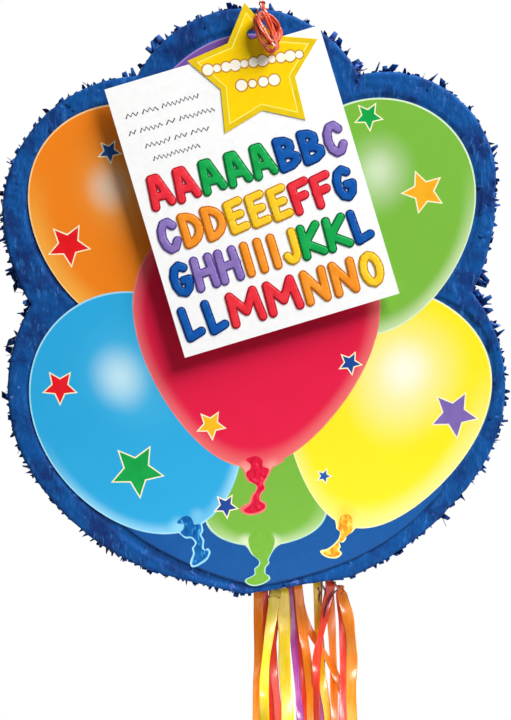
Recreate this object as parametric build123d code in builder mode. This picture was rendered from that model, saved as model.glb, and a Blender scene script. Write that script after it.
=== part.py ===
"""Pull-ribbon pinata: a flat cardboard box cut to the outline of five balloons, covered in crepe tissue.

Millimetres. +Z is up and the picture side faces -Y. The origin is the top of the cord loop that the pinata
hangs from. Outlines are drawn in X and Z and extruded along Y.
"""

from build123d import *
from math import atan2, cos, degrees, radians, sin, tan
import os

os.makedirs("parts", exist_ok=True)

# ---- the box ----
FRONT_Y = -46.0  # outer face of the front board
BACK_Y = 46.0  # outer face of the back board
BOARD = 3.0  # thickness of the corrugated card
TISSUE = 1.2  # crepe glued flat on the front board
PICTURE = 1.0  # thickness of the die-cut picture card
FRINGE_EDGE = 1.0  # how far the fringe skin stays inside the tissue's edge
BOARD_EDGE = 5.0  # how far the card stays inside the tissue's edge
BACK_SKIN = 2.0  # thickness of the tissue rows on the back
FRINGE_ROWS = 4  # rows of fringe across the side
WALL_CENTRE = (-13, -275)  # where the cuts between wall strips meet
FAR = 900.0  # longer than the box

# Each stretch of an outline is (a point that its arc passes through, its end); None is a straight run.
BODY_START = (-115, -63)
BODY_EDGE = [
    ((-203, -103), (-238, -181)),
    ((-230, -233), (-212, -272)),
    ((-233, -345), (-218, -413)),
    ((-162, -480), (-72, -523)),
    (None, (-17, -536)),
    (None, (81, -520)),
    ((147, -479), (195, -427)),
    ((221, -340), (191, -260)),
    ((206, -222), (212, -172)),
    ((183, -88), (88, -62)),
    ((-17, -1), BODY_START),
]
PICTURE_START = (-102, -92)
PICTURE_EDGE = [
    ((-188, -117), (-214, -175)),
    ((-203, -228), (-168, -271)),
    ((-200, -305), (-214, -347)),
    ((-198, -404), (-149, -461)),
    ((-79, -508), (-5, -529)),
    ((87, -500), (161, -442)),
    ((194, -395), (207, -336)),
    ((193, -290), (154, -265)),
    ((185, -222), (195, -172)),
    ((171, -112), (110, -83)),
    ((89, -85), (69, -91)),
    ((-17, -25.5), PICTURE_START),
]
# Wall strips, each from one direction to the next as seen from WALL_CENTRE, in degrees.
WALLS = {
    "side_wall_top": (64.6, 115.7),
    "side_wall_upper_left": (115.7, 179.1),
    "side_wall_lower_left": (179.1, 221.7),
    "side_wall_bottom_left": (221.7, 269.1),
    "side_wall_door": (269.1, 291.0),
    "side_wall_lower_right": (291.0, 364.2),
    "side_wall_upper_right": (4.2, 64.6),
}

# ---- the trap door, in the straight stretch of the bottom wall ----
DOOR_START = (-17, -536)  # the straight stretch at the tissue's edge
DOOR_END = (81, -520)
DOOR_LENGTH = 86.0
DOOR_DEPTH = 60.0
DOOR_GAP = 1.0
DOOR_SKIN = 2.0
HINGE_MARGIN = 5.0  # bare card beside a crease, so that the tissue can turn
DOOR_RISE = atan2(DOOR_END[1] - DOOR_START[1], DOOR_END[0] - DOOR_START[0])

# ---- the filling flap, in the back board ----
FLAP_CENTRE = (-13, -190)
FLAP_WIDTH = 104.0
FLAP_HEIGHT = 84.0
FLAP_GAP = 1.0
FLAP_SKIN = 2.0

# ---- the hanging loop ----
CORD = 2.0
LOOP_LEFT = -6.0  # the loop's two legs go down through the top wall here
LOOP_RIGHT = 14.0
LOOP_BOTTOM = -21.0
CROWN_Z = 1.0
LOBE_CENTRE = (-14.0, -115.7)  # the centre of the top lobe's arc
LOBE_RADIUS = 114.6
LEG_HOLE = 1.5  # radius of the holes for the legs
PLATE = (36.0, 30.0, 3.0)
PLATE_DROP = 2.0

# ---- the hank of hanging cord ----
HANK_BACK = -63.0
HANK_THICKNESS = 12.0
HANK_CENTRE = (5.5, -25.5)
HANK_RADII = (13.5, 22.5)
HANK_TILT = 25.0
LEAD_RING = 2.9  # radius of the ring that the lead makes round the hanging loop
LEAD_CORD = 1.6
KNOT = (-1.0, -54.0, 1.5)
KNOT_RADIUS = 3.4
TIE_CORD = 1.6

# ---- the hang tag ----
SHEET_Y = -60.0  # back face of the sticker sheet
SHEET = 0.5
SHEET_SIZE = (203.2, 254.0)
SHEET_CENTRE = (-10.0, -169.3)
SHEET_TILT = 16.7
STAR = 0.7
STAR_CENTRE = (-6.4, -60.1)
STAR_OUTER = 63.0
STAR_INNER = 36.0
STAR_TILT = 9.6
TAG_HOLE = (-9.7, -26.4)
TAG_HOLE_RADIUS = 4.2
STICKER = 0.4
LETTER_HEIGHT = 33.0
STROKE = 7.6

# ---- the pull ribbons ----
RIBBON = 0.5
RIBBON_FRONT_Y = -25.0
RIBBON_PITCH = 2.4  # one ribbon lies behind the next
STRIP = 1.2  # thickness of the tape that holds the ribbons' tops
STRIP_GAP = 0.3


def save(part, label):
    part.label = label
    export_step(part, f"parts/{label}.step")


def upright(y):
    """The plane of an outline at that depth: X is right and Z is up."""
    return Plane.XZ.offset(-y)


def trace_edge(start, stretches):
    point = start
    for via, end in stretches:
        if via is None:
            Line(point, end)
        else:
            ThreePointArc(point, via, end)
        point = end


def body_outline(inset):
    with BuildSketch() as outline:
        with BuildLine():
            trace_edge(BODY_START, BODY_EDGE)
        make_face()
        offset(amount=-inset)
    return outline.sketch


def polar(centre, radius, angle):
    """A point at that distance and direction, in degrees, from centre."""
    a = radians(angle)
    return (centre[0] + radius * cos(a), centre[1] + radius * sin(a))


def middle(a, b):
    return ((a[0] + b[0]) / 2, (a[1] + b[1]) / 2)


CARD = body_outline(BOARD_EDGE)
CARD_INSIDE = body_outline(BOARD_EDGE + BOARD)
SKIN = body_outline(FRINGE_EDGE)

DOOR_NORMAL = (sin(DOOR_RISE), 0, -cos(DOOR_RISE))
DOOR_MIDDLE = middle(DOOR_START, DOOR_END)
DOOR_PLANE = Plane(
    origin=(
        DOOR_MIDDLE[0] - BOARD_EDGE * DOOR_NORMAL[0],
        0,
        DOOR_MIDDLE[1] - BOARD_EDGE * DOOR_NORMAL[2],
    ),
    x_dir=(cos(DOOR_RISE), 0, sin(DOOR_RISE)),
    z_dir=DOOR_NORMAL,
)


# ---- boards and walls ----
with BuildPart() as front_board:
    with BuildSketch(upright(FRONT_Y + BOARD)):
        add(CARD)
    extrude(amount=BOARD)
save(front_board.part, "front_board")

with BuildPart() as back_board:
    with BuildSketch(upright(BACK_Y)):
        add(CARD)
        with Locations(FLAP_CENTRE):
            Rectangle(FLAP_WIDTH + 2 * FLAP_GAP, FLAP_HEIGHT + 2 * FLAP_GAP, mode=Mode.SUBTRACT)
    extrude(amount=BOARD)
save(back_board.part, "back_board")


# Cutters: the hanging loop's legs go through the top wall, and the trap door fills a hole in the bottom one.
with BuildPart() as leg_holes:
    with BuildSketch(Plane.XY.offset(-60)):
        with Locations((LOOP_LEFT, 0), (LOOP_RIGHT, 0)):
            Circle(LEG_HOLE)
    extrude(amount=80)

with BuildPart() as door_hole:
    with BuildSketch(DOOR_PLANE.offset(-20)):
        Rectangle(DOOR_LENGTH + 2 * DOOR_GAP, DOOR_DEPTH + 2 * DOOR_GAP)
    extrude(amount=40)

with BuildPart() as door_clearance:
    with BuildSketch(DOOR_PLANE.offset(-20)):
        Rectangle(DOOR_LENGTH + 2 * DOOR_GAP, DOOR_DEPTH + 2 * DOOR_GAP + 2 * HINGE_MARGIN)
    extrude(amount=40)

for name, (start, end) in WALLS.items():
    with BuildPart() as wall:
        with BuildSketch(upright(BACK_Y - BOARD)):
            add(CARD)
            add(CARD_INSIDE, mode=Mode.SUBTRACT)
            Polygon(
                WALL_CENTRE,
                polar(WALL_CENTRE, FAR, start),
                polar(WALL_CENTRE, FAR, (start + end) / 2),
                polar(WALL_CENTRE, FAR, end),
                align=None,
                mode=Mode.INTERSECT,
            )
        extrude(amount=BACK_Y - FRONT_Y - 2 * BOARD)
        if name == "side_wall_top":
            add(leg_holes.part, mode=Mode.SUBTRACT)
        if name == "side_wall_door":
            add(door_hole.part, mode=Mode.SUBTRACT)
    save(wall.part, name)

# ---- crepe, fringe and picture ----
with BuildPart() as front_tissue:
    with BuildSketch(upright(FRONT_Y)):
        add(SKIN)
    extrude(amount=TISSUE)
save(front_tissue.part, "front_tissue")

with BuildPart() as picture_panel:
    with BuildSketch(upright(FRONT_Y - TISSUE)):
        with BuildLine():
            trace_edge(PICTURE_START, PICTURE_EDGE)
        make_face()
    extrude(amount=PICTURE)
save(picture_panel.part, "picture_panel")

row_depth = (BACK_Y - FRONT_Y) / FRINGE_ROWS
for row in range(FRINGE_ROWS):
    with BuildPart() as fringe:
        with BuildSketch(upright(FRONT_Y + (row + 1) * row_depth)):
            add(SKIN)
            add(CARD, mode=Mode.SUBTRACT)
        extrude(amount=row_depth)
        add(leg_holes.part, mode=Mode.SUBTRACT)
        add(door_clearance.part, mode=Mode.SUBTRACT)
    save(fringe.part, f"side_fringe_row_{row + 1}")

with BuildPart() as back_fringe:
    with BuildSketch(upright(BACK_Y + BACK_SKIN)):
        add(SKIN)
        with Locations((FLAP_CENTRE[0], FLAP_CENTRE[1] + HINGE_MARGIN / 2)):
            Rectangle(
                FLAP_WIDTH + 2 * FLAP_GAP,
                FLAP_HEIGHT + 2 * FLAP_GAP + HINGE_MARGIN,
                mode=Mode.SUBTRACT,
            )
    extrude(amount=BACK_SKIN)
save(back_fringe.part, "back_fringe")

# ---- the filling flap: it turns about its top edge, on the back board's outer face ----
with BuildPart() as fill_flap:
    with BuildSketch(upright(BACK_Y)):
        with Locations(FLAP_CENTRE):
            Rectangle(FLAP_WIDTH, FLAP_HEIGHT)
    extrude(amount=BOARD)
save(fill_flap.part, "fill_flap")

with BuildPart() as fill_flap_fringe:
    with BuildSketch(upright(BACK_Y + FLAP_SKIN)):
        with Locations((FLAP_CENTRE[0], FLAP_CENTRE[1] - HINGE_MARGIN / 2)):
            Rectangle(FLAP_WIDTH, FLAP_HEIGHT - HINGE_MARGIN)
    extrude(amount=FLAP_SKIN)
save(fill_flap_fringe.part, "fill_flap_fringe")

# ---- the trap door: it turns about its back edge, on the bottom wall's outer face ----
with BuildPart() as trap_door:
    with BuildSketch(DOOR_PLANE.offset(-BOARD)):
        Rectangle(DOOR_LENGTH, DOOR_DEPTH)
    extrude(amount=BOARD)
save(trap_door.part, "trap_door")

with BuildPart() as trap_door_fringe:
    with BuildSketch(DOOR_PLANE):
        with Locations((0, HINGE_MARGIN / 2)):
            Rectangle(DOOR_LENGTH, DOOR_DEPTH - HINGE_MARGIN)
    extrude(amount=DOOR_SKIN)
save(trap_door_fringe.part, "trap_door_fringe")

# ---- the hanging loop, its plate inside the box and its knot under the plate ----
plate_lean = degrees(atan2((LOOP_LEFT + LOOP_RIGHT) / 2 - LOBE_CENTRE[0], LOBE_RADIUS - BOARD_EDGE))
plate_top = polar(LOBE_CENTRE, LOBE_RADIUS - BOARD_EDGE - BOARD - PLATE_DROP, 90 - plate_lean)
with BuildPart() as anchor_plate:
    with BuildSketch(
        Plane(
            origin=(plate_top[0], 0, plate_top[1]),
            x_dir=(cos(radians(plate_lean)), 0, -sin(radians(plate_lean))),
            z_dir=(sin(radians(plate_lean)), 0, cos(radians(plate_lean))),
        )
    ):
        RectangleRounded(PLATE[0], PLATE[1], 4)
    extrude(amount=-PLATE[2])
    add(leg_holes.part, mode=Mode.SUBTRACT)
save(anchor_plate.part, "anchor_plate")

LOOP_MIDDLE = (LOOP_LEFT + LOOP_RIGHT) / 2
with BuildPart() as hanger_loop:
    with BuildLine(upright(0)) as loop_path:
        FilletPolyline(
            (LOOP_MIDDLE - 2.0, LOOP_BOTTOM),
            (LOOP_LEFT, LOOP_BOTTOM),
            (LOOP_LEFT, CROWN_Z),
            (LOOP_RIGHT - 6.5, CROWN_Z),
            (LOOP_RIGHT, CROWN_Z - 4),
            (LOOP_RIGHT, LOOP_BOTTOM),
            (LOOP_MIDDLE + 2.0, LOOP_BOTTOM),
            radius=[3, 4, 5, 3.5, 3],
        )
    with BuildSketch(Plane(origin=loop_path.line @ 0, z_dir=loop_path.line % 0)):
        Circle(CORD / 2)
    sweep()
save(hanger_loop.part, "hanger_loop")

with BuildPart() as loop_knot:
    with Locations((LOOP_MIDDLE, 0, LOOP_BOTTOM)):
        Sphere(3.6)
save(loop_knot.part, "loop_knot")


# ---- cords: straight runs joined by arcs as large as the runs allow ----
def arc_radii(points):
    radii = []
    for before, here, after in zip(points, points[1:], points[2:]):
        first = Vector(*here) - Vector(*before)
        second = Vector(*after) - Vector(*here)
        turn = radians(first.get_angle(second))
        radii.append(0.45 * min(first.length, second.length) / tan(turn / 2))
    return radii


def report(label, part, section, path, radii):
    length = sum(edge.length for edge in path.edges())
    print(f"{label}: length {length:.1f} mm, radii {', '.join(f'{r:.0f}' for r in radii)}")
    print(f"  volume {part.volume:.1f}, section times length {section * length:.1f} mm3")


def round_cord(label, points, diameter):
    radii = arc_radii(points)
    with BuildPart() as cord:
        with BuildLine() as path:
            FilletPolyline(*points, radius=radii)
        with BuildSketch(Plane(origin=path.line @ 0, z_dir=path.line % 0)) as section:
            Circle(diameter / 2)
        sweep()
    report(label, cord.part, section.sketch.area, path.line, radii)
    save(cord.part, label)


# ---- the hank of hanging cord and what ties it to the loop and the tag ----
with BuildPart() as hanging_hank:
    with BuildSketch(upright(HANK_BACK)):
        with Locations(HANK_CENTRE):
            Ellipse(HANK_RADII[0], HANK_RADII[1], rotation=HANK_TILT)
    extrude(amount=HANK_THICKNESS)
    fillet(hanging_hank.edges(), radius=4)
save(hanging_hank.part, "hanging_hank")

with BuildPart() as lead_ring:
    with BuildSketch(Plane.XY.offset(CROWN_Z)):
        with Locations((0, -LEAD_RING)):
            Circle(LEAD_CORD / 2)
    revolve(axis=Axis((0, 0, CROWN_Z), (1, 0, 0)))
save(lead_ring.part, "lead_ring")

LEAD_ROUTE = [
    (0, -LEAD_RING - LEAD_CORD / 2, CROWN_Z),
    (0.6, -18, 2.4),
    (-0.6, -34, 3.0),
    (KNOT[0], KNOT[1] + KNOT_RADIUS, KNOT[2]),
]
round_cord("hank_lead", LEAD_ROUTE, LEAD_CORD)

with BuildPart() as lead_knot:
    with Locations(KNOT):
        Sphere(KNOT_RADIUS)
save(lead_knot.part, "lead_knot")

NECK_ROUTE = [
    (KNOT[0], KNOT[1] - KNOT_RADIUS, KNOT[2]),
    (KNOT[0] + 0.5, -62, 0.5),
    (KNOT[0] + 1.5, -67, -3.0),
    (KNOT[0] + 2.5, -69, -7.0),
]
round_cord("hank_neck", NECK_ROUTE, 2 * LEAD_CORD)

TIE_ROUTE = [
    (KNOT[0] - 1.5, KNOT[1] - 1.0, KNOT[2] - 3.4),
    (-7.0, -56.8, -8.0),
    (TAG_HOLE[0], -57.3, -19.0),
    (TAG_HOLE[0] + 0.2, -59.0, -23.6),
    (TAG_HOLE[0] + 0.6, -62.8, -23.6),
    (TAG_HOLE[0] + 1.6, -65.2, -19.5),
    (-6.4, -66.5, -15.0),
]
round_cord("tag_tie", TIE_ROUTE, TIE_CORD)

# ---- the hang tag ----
SHEET_PLANE = Plane(
    origin=(SHEET_CENTRE[0], SHEET_Y, SHEET_CENTRE[1]),
    x_dir=(cos(radians(SHEET_TILT)), 0, sin(radians(SHEET_TILT))),
    z_dir=(0, -1, 0),
)
with BuildPart() as sticker_sheet:
    with BuildSketch(SHEET_PLANE):
        Rectangle(*SHEET_SIZE)
    extrude(amount=SHEET)
save(sticker_sheet.part, "sticker_sheet")

with BuildPart() as star_header:
    with BuildSketch(upright(SHEET_Y - SHEET)):
        star_points = []
        for tip in range(5):
            angle = 90 + STAR_TILT + 72 * tip
            star_points.append(polar(STAR_CENTRE, STAR_OUTER, angle))
            star_points.append(polar(STAR_CENTRE, STAR_INNER, angle + 36))
        Polygon(*star_points, align=None)
        with Locations(TAG_HOLE):
            Circle(TAG_HOLE_RADIUS, mode=Mode.SUBTRACT)
    extrude(amount=STAR)
save(star_header.part, "star_header")


# ---- letter stickers: rounded strokes in a box one unit wide and one high ----
def bow(cx, cy, rx, ry, start, end, steps=8):
    """Points along part of an ellipse, angles in degrees."""
    turn = (end - start) / steps
    return [
        (cx + rx * cos(radians(start + i * turn)), cy + ry * sin(radians(start + i * turn)))
        for i in range(steps + 1)
    ]


GLYPHS = {
    "A": [[(0.02, 0), (0.16, 1), (0.48, 1), (1, 0.05)], [(0.1, 0.36), (0.78, 0.32)]],
    "B": [[(0, 0), (0, 1)], bow(0, 0.75, 0.8, 0.25, 90, -90, 5), bow(0, 0.25, 1, 0.25, 90, -90, 5)],
    "C": [bow(0.5, 0.5, 0.5, 0.5, 40, 330)],
    "D": [[(0, 0), (0, 1)], bow(0, 0.5, 1, 0.5, 90, -90)],
    "E": [[(0.9, 1), (0, 0.94), (0.06, 0), (1, 0.06)], [(0, 0.5), (0.8, 0.53)]],
    "F": [[(1, 1), (0, 0.92), (0.06, 0)], [(0, 0.46), (0.8, 0.52)]],
    "G": [bow(0.5, 0.5, 0.5, 0.5, 50, 350), [(0.6, 0.44), (1, 0.44)]],
    "H": [[(0, 0), (0.04, 1)], [(1, 0), (0.92, 1)], [(0, 0.48), (1, 0.52)]],
    "I": [[(0.5, 0), (0.5, 1)]],
    "J": [[(1, 1), (1, 0.3)], bow(0.5, 0.3, 0.5, 0.3, 0, -160, 5)],
    "K": [[(0, 0), (0.06, 1)], [(0.92, 1), (0.1, 0.46), (1, 0.02)]],
    "L": [[(0, 1), (0.1, 0), (1, 0.12)]],
    "M": [[(0, 0), (0.04, 1), (0.5, 0.34), (0.9, 1), (1, 0)]],
    "N": [[(0, 0), (0.04, 1), (0.92, 0), (1, 1)]],
    "O": [bow(0.5, 0.5, 0.5, 0.5, 0, 360, 12)],
}
LETTER_WIDTHS = {
    "A": 23.5, "B": 22, "C": 21, "D": 21, "E": 20, "F": 20, "G": 21, "H": 22.5,
    "I": 12.5, "J": 17, "K": 24, "L": 20, "M": 33, "N": 25, "O": 22,
}  # fmt: skip
# Each row: its middle on the sheet, its length, and its letters with their colours.
LETTER_ROWS = [
    ((2.4, 24.0), 188, "AAAAABBC", ["red"] * 2 + ["green"] * 3 + ["blue"] * 2 + ["purple"]),
    ((-0.4, -17.0), 187, "CDDEEEFFG", ["purple"] + ["orange"] * 2 + ["yellow"] * 3 + ["red"] * 2 + ["blue"]),
    (
        (0.5, -58.0),
        190,
        "GHHIIIJKKL",
        ["blue"] + ["purple"] * 2 + ["orange"] * 3 + ["yellow"] + ["green"] * 2 + ["blue"],
    ),
    ((-1.0, -98.5), 191, "LLMMNNO", ["blue"] * 2 + ["red"] * 2 + ["orange"] * 2 + ["yellow"]),
]


def draw_letter(letter, centre):
    """The letter as a face, each stroke a chain of slots."""
    width = LETTER_WIDTHS[letter] - STROKE
    height = LETTER_HEIGHT - STROKE
    for stroke in GLYPHS[letter]:
        points = [
            (centre[0] + (x - 0.5) * width, centre[1] + (y - 0.5) * height) for x, y in stroke
        ]
        for a, b in zip(points, points[1:]):
            run = Vector(*b) - Vector(*a)
            with Locations(middle(a, b)):
                SlotCenterToCenter(run.length, STROKE, rotation=degrees(atan2(run.Y, run.X)))


placed = {colour: [] for colour in ("red", "green", "blue", "purple", "orange", "yellow")}
for centre, length, letters, colours in LETTER_ROWS:
    widths = [LETTER_WIDTHS[letter] for letter in letters]
    gap = (length - sum(widths)) / (len(letters) - 1)
    left = centre[0] - length / 2
    for letter, width, colour in zip(letters, widths, colours):
        placed[colour].append((letter, (left + width / 2, centre[1])))
        left += width + gap

for colour, letters in placed.items():
    with BuildPart() as stickers:
        with BuildSketch(SHEET_PLANE.offset(SHEET)):
            for letter, centre in letters:
                draw_letter(letter, centre)
        extrude(amount=STICKER)
    save(stickers.part, f"letter_stickers_{colour}")

# ---- the pull ribbons, each a flat strip hanging from the trap door ----
# Each ribbon: its width, its place from front to back, and its route in X and Z from the tape down.
RIBBONS = [
    (9, 6, [(-4.5, -534.5), (-3.6, -586), (-5.5, -639), (-9, -740), (-6, -835), (-10, -925)]),
    (8, 9, [(1, -532), (3.6, -577), (0, -622), (3, -705), (-1, -815), (2, -930)]),
    (10, 0, [(12, -532.6), (4.1, -582), (0.5, -618), (1.6, -660), (6, -735), (3, -835), (7, -935)]),
    (9, 11, [(13, -532), (9.5, -575), (5.5, -616), (12, -690), (9, -790), (14, -905)]),
    (8, 8, [(9.5, -531), (8, -595), (14, -640), (20, -725), (15, -820), (19, -915)]),
    (12, 2, [(18, -531), (20, -567), (19.4, -604), (23.7, -655), (21, -740), (26, -840), (23, -940)]),
    (7, 5, [(24, -529.5), (30, -600), (35, -655), (38, -740), (33, -835), (37, -928)]),
    (9, 7, [(28, -528), (34.3, -574), (39, -630), (36, -730), (42, -825), (39, -918)]),
    (9, 4, [(32, -527), (36, -569), (42, -604), (44.6, -655), (47, -740), (43, -840), (48, -935)]),
    (7, 12, [(31, -527), (38, -563), (52, -586), (65, -606), (75, -633), (82, -680), (86, -755), (82, -845), (87, -930)]),
    (9, 3, [(62.8, -524.5), (55.5, -563), (48.2, -596), (48.6, -655), (52, -740), (48, -835), (53, -925)]),
    (8, 10, [(70, -535), (74.6, -572), (74, -630), (72, -730), (77, -830), (74, -920)]),
    (11, 1, [(72.5, -537), (79.5, -563), (82, -594), (80, -630), (86, -720), (81, -830), (85, -938)]),
    (8, 13, [(61, -523), (64, -575), (66.4, -640), (63, -735), (67, -830), (64, -922)]),
    (8, 14, [(50, -525.5), (51, -577), (54.5, -615), (62, -660), (60, -745), (56, -840), (60, -932)]),
    (7, 15, [(52, -524), (50.5, -560), (56, -610), (52, -700), (57, -800), (54, -900)]),
]  # fmt: skip

strip_depth = RIBBON_PITCH * (len(RIBBONS) - 1) + 2 * RIBBON
strip_middle = RIBBON_FRONT_Y + STRIP_GAP + strip_depth / 2
with BuildPart() as ribbon_tape:
    with BuildSketch(DOOR_PLANE.offset(DOOR_SKIN + STRIP_GAP)):
        with Locations((0, -strip_middle)):
            Rectangle(DOOR_LENGTH, strip_depth)
    extrude(amount=STRIP)
save(ribbon_tape.part, "ribbon_tape")

for number, (width, place, route) in enumerate(RIBBONS, start=1):
    label = f"pull_ribbon_{number:02d}"
    radii = arc_radii(route)
    depth = RIBBON_FRONT_Y + STRIP_GAP + RIBBON + place * RIBBON_PITCH
    with BuildPart() as ribbon:
        with BuildLine(upright(depth)) as ribbon_path:
            FilletPolyline(*route, radius=radii)
        with BuildSketch(
            Plane(origin=ribbon_path.line @ 0, x_dir=(0, 1, 0), z_dir=ribbon_path.line % 0)
        ):
            Rectangle(RIBBON, width)
        sweep()
    report(label, ribbon.part, RIBBON * width, ribbon_path.line, radii)
    save(ribbon.part, label)

RIBBON_KNOT_RADIUS = 3.8
with BuildPart() as ribbon_knot:
    with Locations((71, RIBBON_FRONT_Y + RIBBON_PITCH, -531)):
        Sphere(RIBBON_KNOT_RADIUS)
save(ribbon_knot.part, "ribbon_knot")
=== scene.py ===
"""The looks of the pull-ribbon pinata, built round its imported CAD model.

Lengths are millimetres in the CAD model's frame, and every mesh is made in metres by mesh_piece(). +Z is up
and the picture side faces -Y.
"""

import math

import bpy
import numpy as np
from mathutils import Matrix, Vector, noise
from mathutils.geometry import delaunay_2d_cdt


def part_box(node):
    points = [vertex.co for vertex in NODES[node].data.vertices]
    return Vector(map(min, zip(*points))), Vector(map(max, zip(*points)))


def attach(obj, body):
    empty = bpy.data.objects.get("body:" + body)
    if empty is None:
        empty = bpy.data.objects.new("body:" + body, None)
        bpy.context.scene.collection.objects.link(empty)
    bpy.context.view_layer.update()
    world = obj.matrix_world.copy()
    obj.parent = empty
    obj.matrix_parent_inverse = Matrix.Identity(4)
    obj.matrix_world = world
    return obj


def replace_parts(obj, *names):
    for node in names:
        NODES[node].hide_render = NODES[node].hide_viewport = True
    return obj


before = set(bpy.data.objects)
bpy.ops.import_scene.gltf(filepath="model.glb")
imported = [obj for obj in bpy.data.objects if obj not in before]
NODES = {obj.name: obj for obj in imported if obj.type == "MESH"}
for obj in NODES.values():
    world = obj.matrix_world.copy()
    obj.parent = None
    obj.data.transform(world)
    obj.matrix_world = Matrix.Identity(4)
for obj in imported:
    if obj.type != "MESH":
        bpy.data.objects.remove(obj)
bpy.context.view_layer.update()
MM = 0.001
SCENE = bpy.context.scene
RANDOM = np.random.default_rng(20)

# ---- places read from the frame, in millimetres ----


def box_mm(node):
    low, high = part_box(node)
    return np.array(low) / MM, np.array(high) / MM


def middle_of(node):
    low, high = box_mm(node)
    return (low + high) / 2


TISSUE_FRONT = box_mm("front_tissue")[0][1]
PICTURE_FRONT = box_mm("picture_panel")[0][1]
PICTURE_BACK = box_mm("picture_panel")[1][1]
CARD_BACK = box_mm("back_board")[1][1]
SHEET_FRONT = box_mm("sticker_sheet")[0][1]
STAR_FRONT = box_mm("star_header")[0][1]
STICKER_FRONT = box_mm("letter_stickers_red")[0][1]
WALL_CENTRE = np.array([-13.0, -275.0])  # X and Z of a point that sees all of the outlines

# ---- camera ----
VIEW_CENTRE = (-6.8, -322.1)  # X and Z of the middle of the view
VIEW_HEIGHT = 655.2  # what the view takes in at the front of the box
VIEW_DISTANCE = 4000.0
SENSOR = 36.0

camera = bpy.data.objects.new("camera", bpy.data.cameras.new("camera"))
SCENE.collection.objects.link(camera)
camera.location = (VIEW_CENTRE[0] * MM, (TISSUE_FRONT - VIEW_DISTANCE) * MM, VIEW_CENTRE[1] * MM)
camera.rotation_euler = (math.radians(90), 0, 0)
camera.data.sensor_width = SENSOR
camera.data.lens = SENSOR * VIEW_DISTANCE / VIEW_HEIGHT
SCENE.camera = camera
SCENE.view_settings.view_transform = "Standard"
SCENE.view_settings.look = "None"


# ---- meshes ----
def mesh_piece(name, points, faces, materials, body, kinds=None, smooth=True):
    """A mesh in metres from points in millimetres, riding on a body. kinds gives each face's material."""
    mesh = bpy.data.meshes.new(name)
    mesh.from_pydata((np.asarray(points, float) * MM).tolist(), [], [list(map(int, f)) for f in faces])
    for material in materials:
        mesh.materials.append(material)
    if kinds is not None:
        mesh.polygons.foreach_set("material_index", np.asarray(kinds, np.int32))
    mesh.polygons.foreach_set("use_smooth", np.full(len(mesh.polygons), smooth))
    mesh.validate()
    mesh.update()
    piece = bpy.data.objects.new(name, mesh)
    SCENE.collection.objects.link(piece)
    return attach(piece, body)


class Bundle:
    """Several meshes gathered into one piece."""

    def __init__(self):
        self.points, self.faces, self.kinds, self.count = [], [], [], 0

    def add(self, points, faces, kind=0):
        points = np.asarray(points, float).reshape(-1, 3)
        self.points.append(points)
        self.faces += [[i + self.count for i in face] for face in faces]
        self.kinds += [kind] * len(faces)
        self.count += len(points)

    def piece(self, name, materials, body, smooth=True):
        return mesh_piece(name, np.vstack(self.points), self.faces, materials, body, self.kinds, smooth)


def smooth_step(x, low, high):
    t = np.clip((np.asarray(x, float) - low) / (high - low), 0, 1)
    return t * t * (3 - 2 * t)


def spline_path(points, steps=8):
    """Points along the smooth NURBS line whose control points these are."""
    curve = bpy.data.curves.new("route", "CURVE")
    curve.dimensions = "3D"
    curve.resolution_u = steps
    spline = curve.splines.new("NURBS")
    spline.points.add(len(points) - 1)
    for slot, point in zip(spline.points, points):
        slot.co = (*(np.array(point) * MM), 1)
    spline.order_u = 3
    spline.use_endpoint_u = True
    route = bpy.data.objects.new("route", curve)
    line = bpy.data.meshes.new_from_object(route)
    path = np.array([v.co for v in line.vertices]) / MM
    bpy.data.objects.remove(route)
    bpy.data.curves.remove(curve)
    bpy.data.meshes.remove(line)
    return path


def frames_along(path, start_side):
    """Unit tangents, sides and normals along a path, turned as little as possible."""
    tangents = np.gradient(path, axis=0)
    tangents /= np.linalg.norm(tangents, axis=1)[:, None]
    sides = []
    side = np.array(start_side, float)
    for tangent in tangents:
        side = side - tangent * (side @ tangent)
        side /= np.linalg.norm(side)
        sides.append(side)
    sides = np.array(sides)
    return tangents, sides, np.cross(tangents, sides)


def loft(rings, looped=False):
    """Faces between rings of the same number of points, with flat ends or joined into a loop."""
    rows, count = rings.shape[:2]
    faces = []
    for r in range(rows if looped else rows - 1):
        s = (r + 1) % rows
        for c in range(count):
            d = (c + 1) % count
            faces.append([r * count + c, r * count + d, s * count + d, s * count + c])
    if not looped:
        faces.append(list(range(count))[::-1])
        faces.append([(rows - 1) * count + c for c in range(count)])
    return faces


def facing(flat, triangles, turn):
    """Triangles in X and Z, all turned counter-clockwise where turn is 1, or clockwise where it is -1."""
    corners = flat[triangles]
    first, second = corners[:, 1] - corners[:, 0], corners[:, 2] - corners[:, 0]
    wrong = turn * (first[:, 0] * second[:, 1] - first[:, 1] * second[:, 0]) < 0
    triangles[wrong] = triangles[wrong][:, ::-1]
    return triangles


def slab_faces(triangles, count):
    """A sheet's faces, its second layer count points later, and the triangle that each side face is from."""
    owner = {}
    for index, triangle in enumerate(triangles.tolist()):
        for a, b in zip(triangle, triangle[1:] + triangle[:1]):
            owner[(a, b)] = index
    rim = [(a, b) for a, b in owner if (b, a) not in owner]
    faces = triangles.tolist() + (triangles[:, ::-1] + count).tolist()
    faces += [[b, a, a + count, b + count] for a, b in rim]
    return faces, [owner[edge] for edge in rim]


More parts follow.
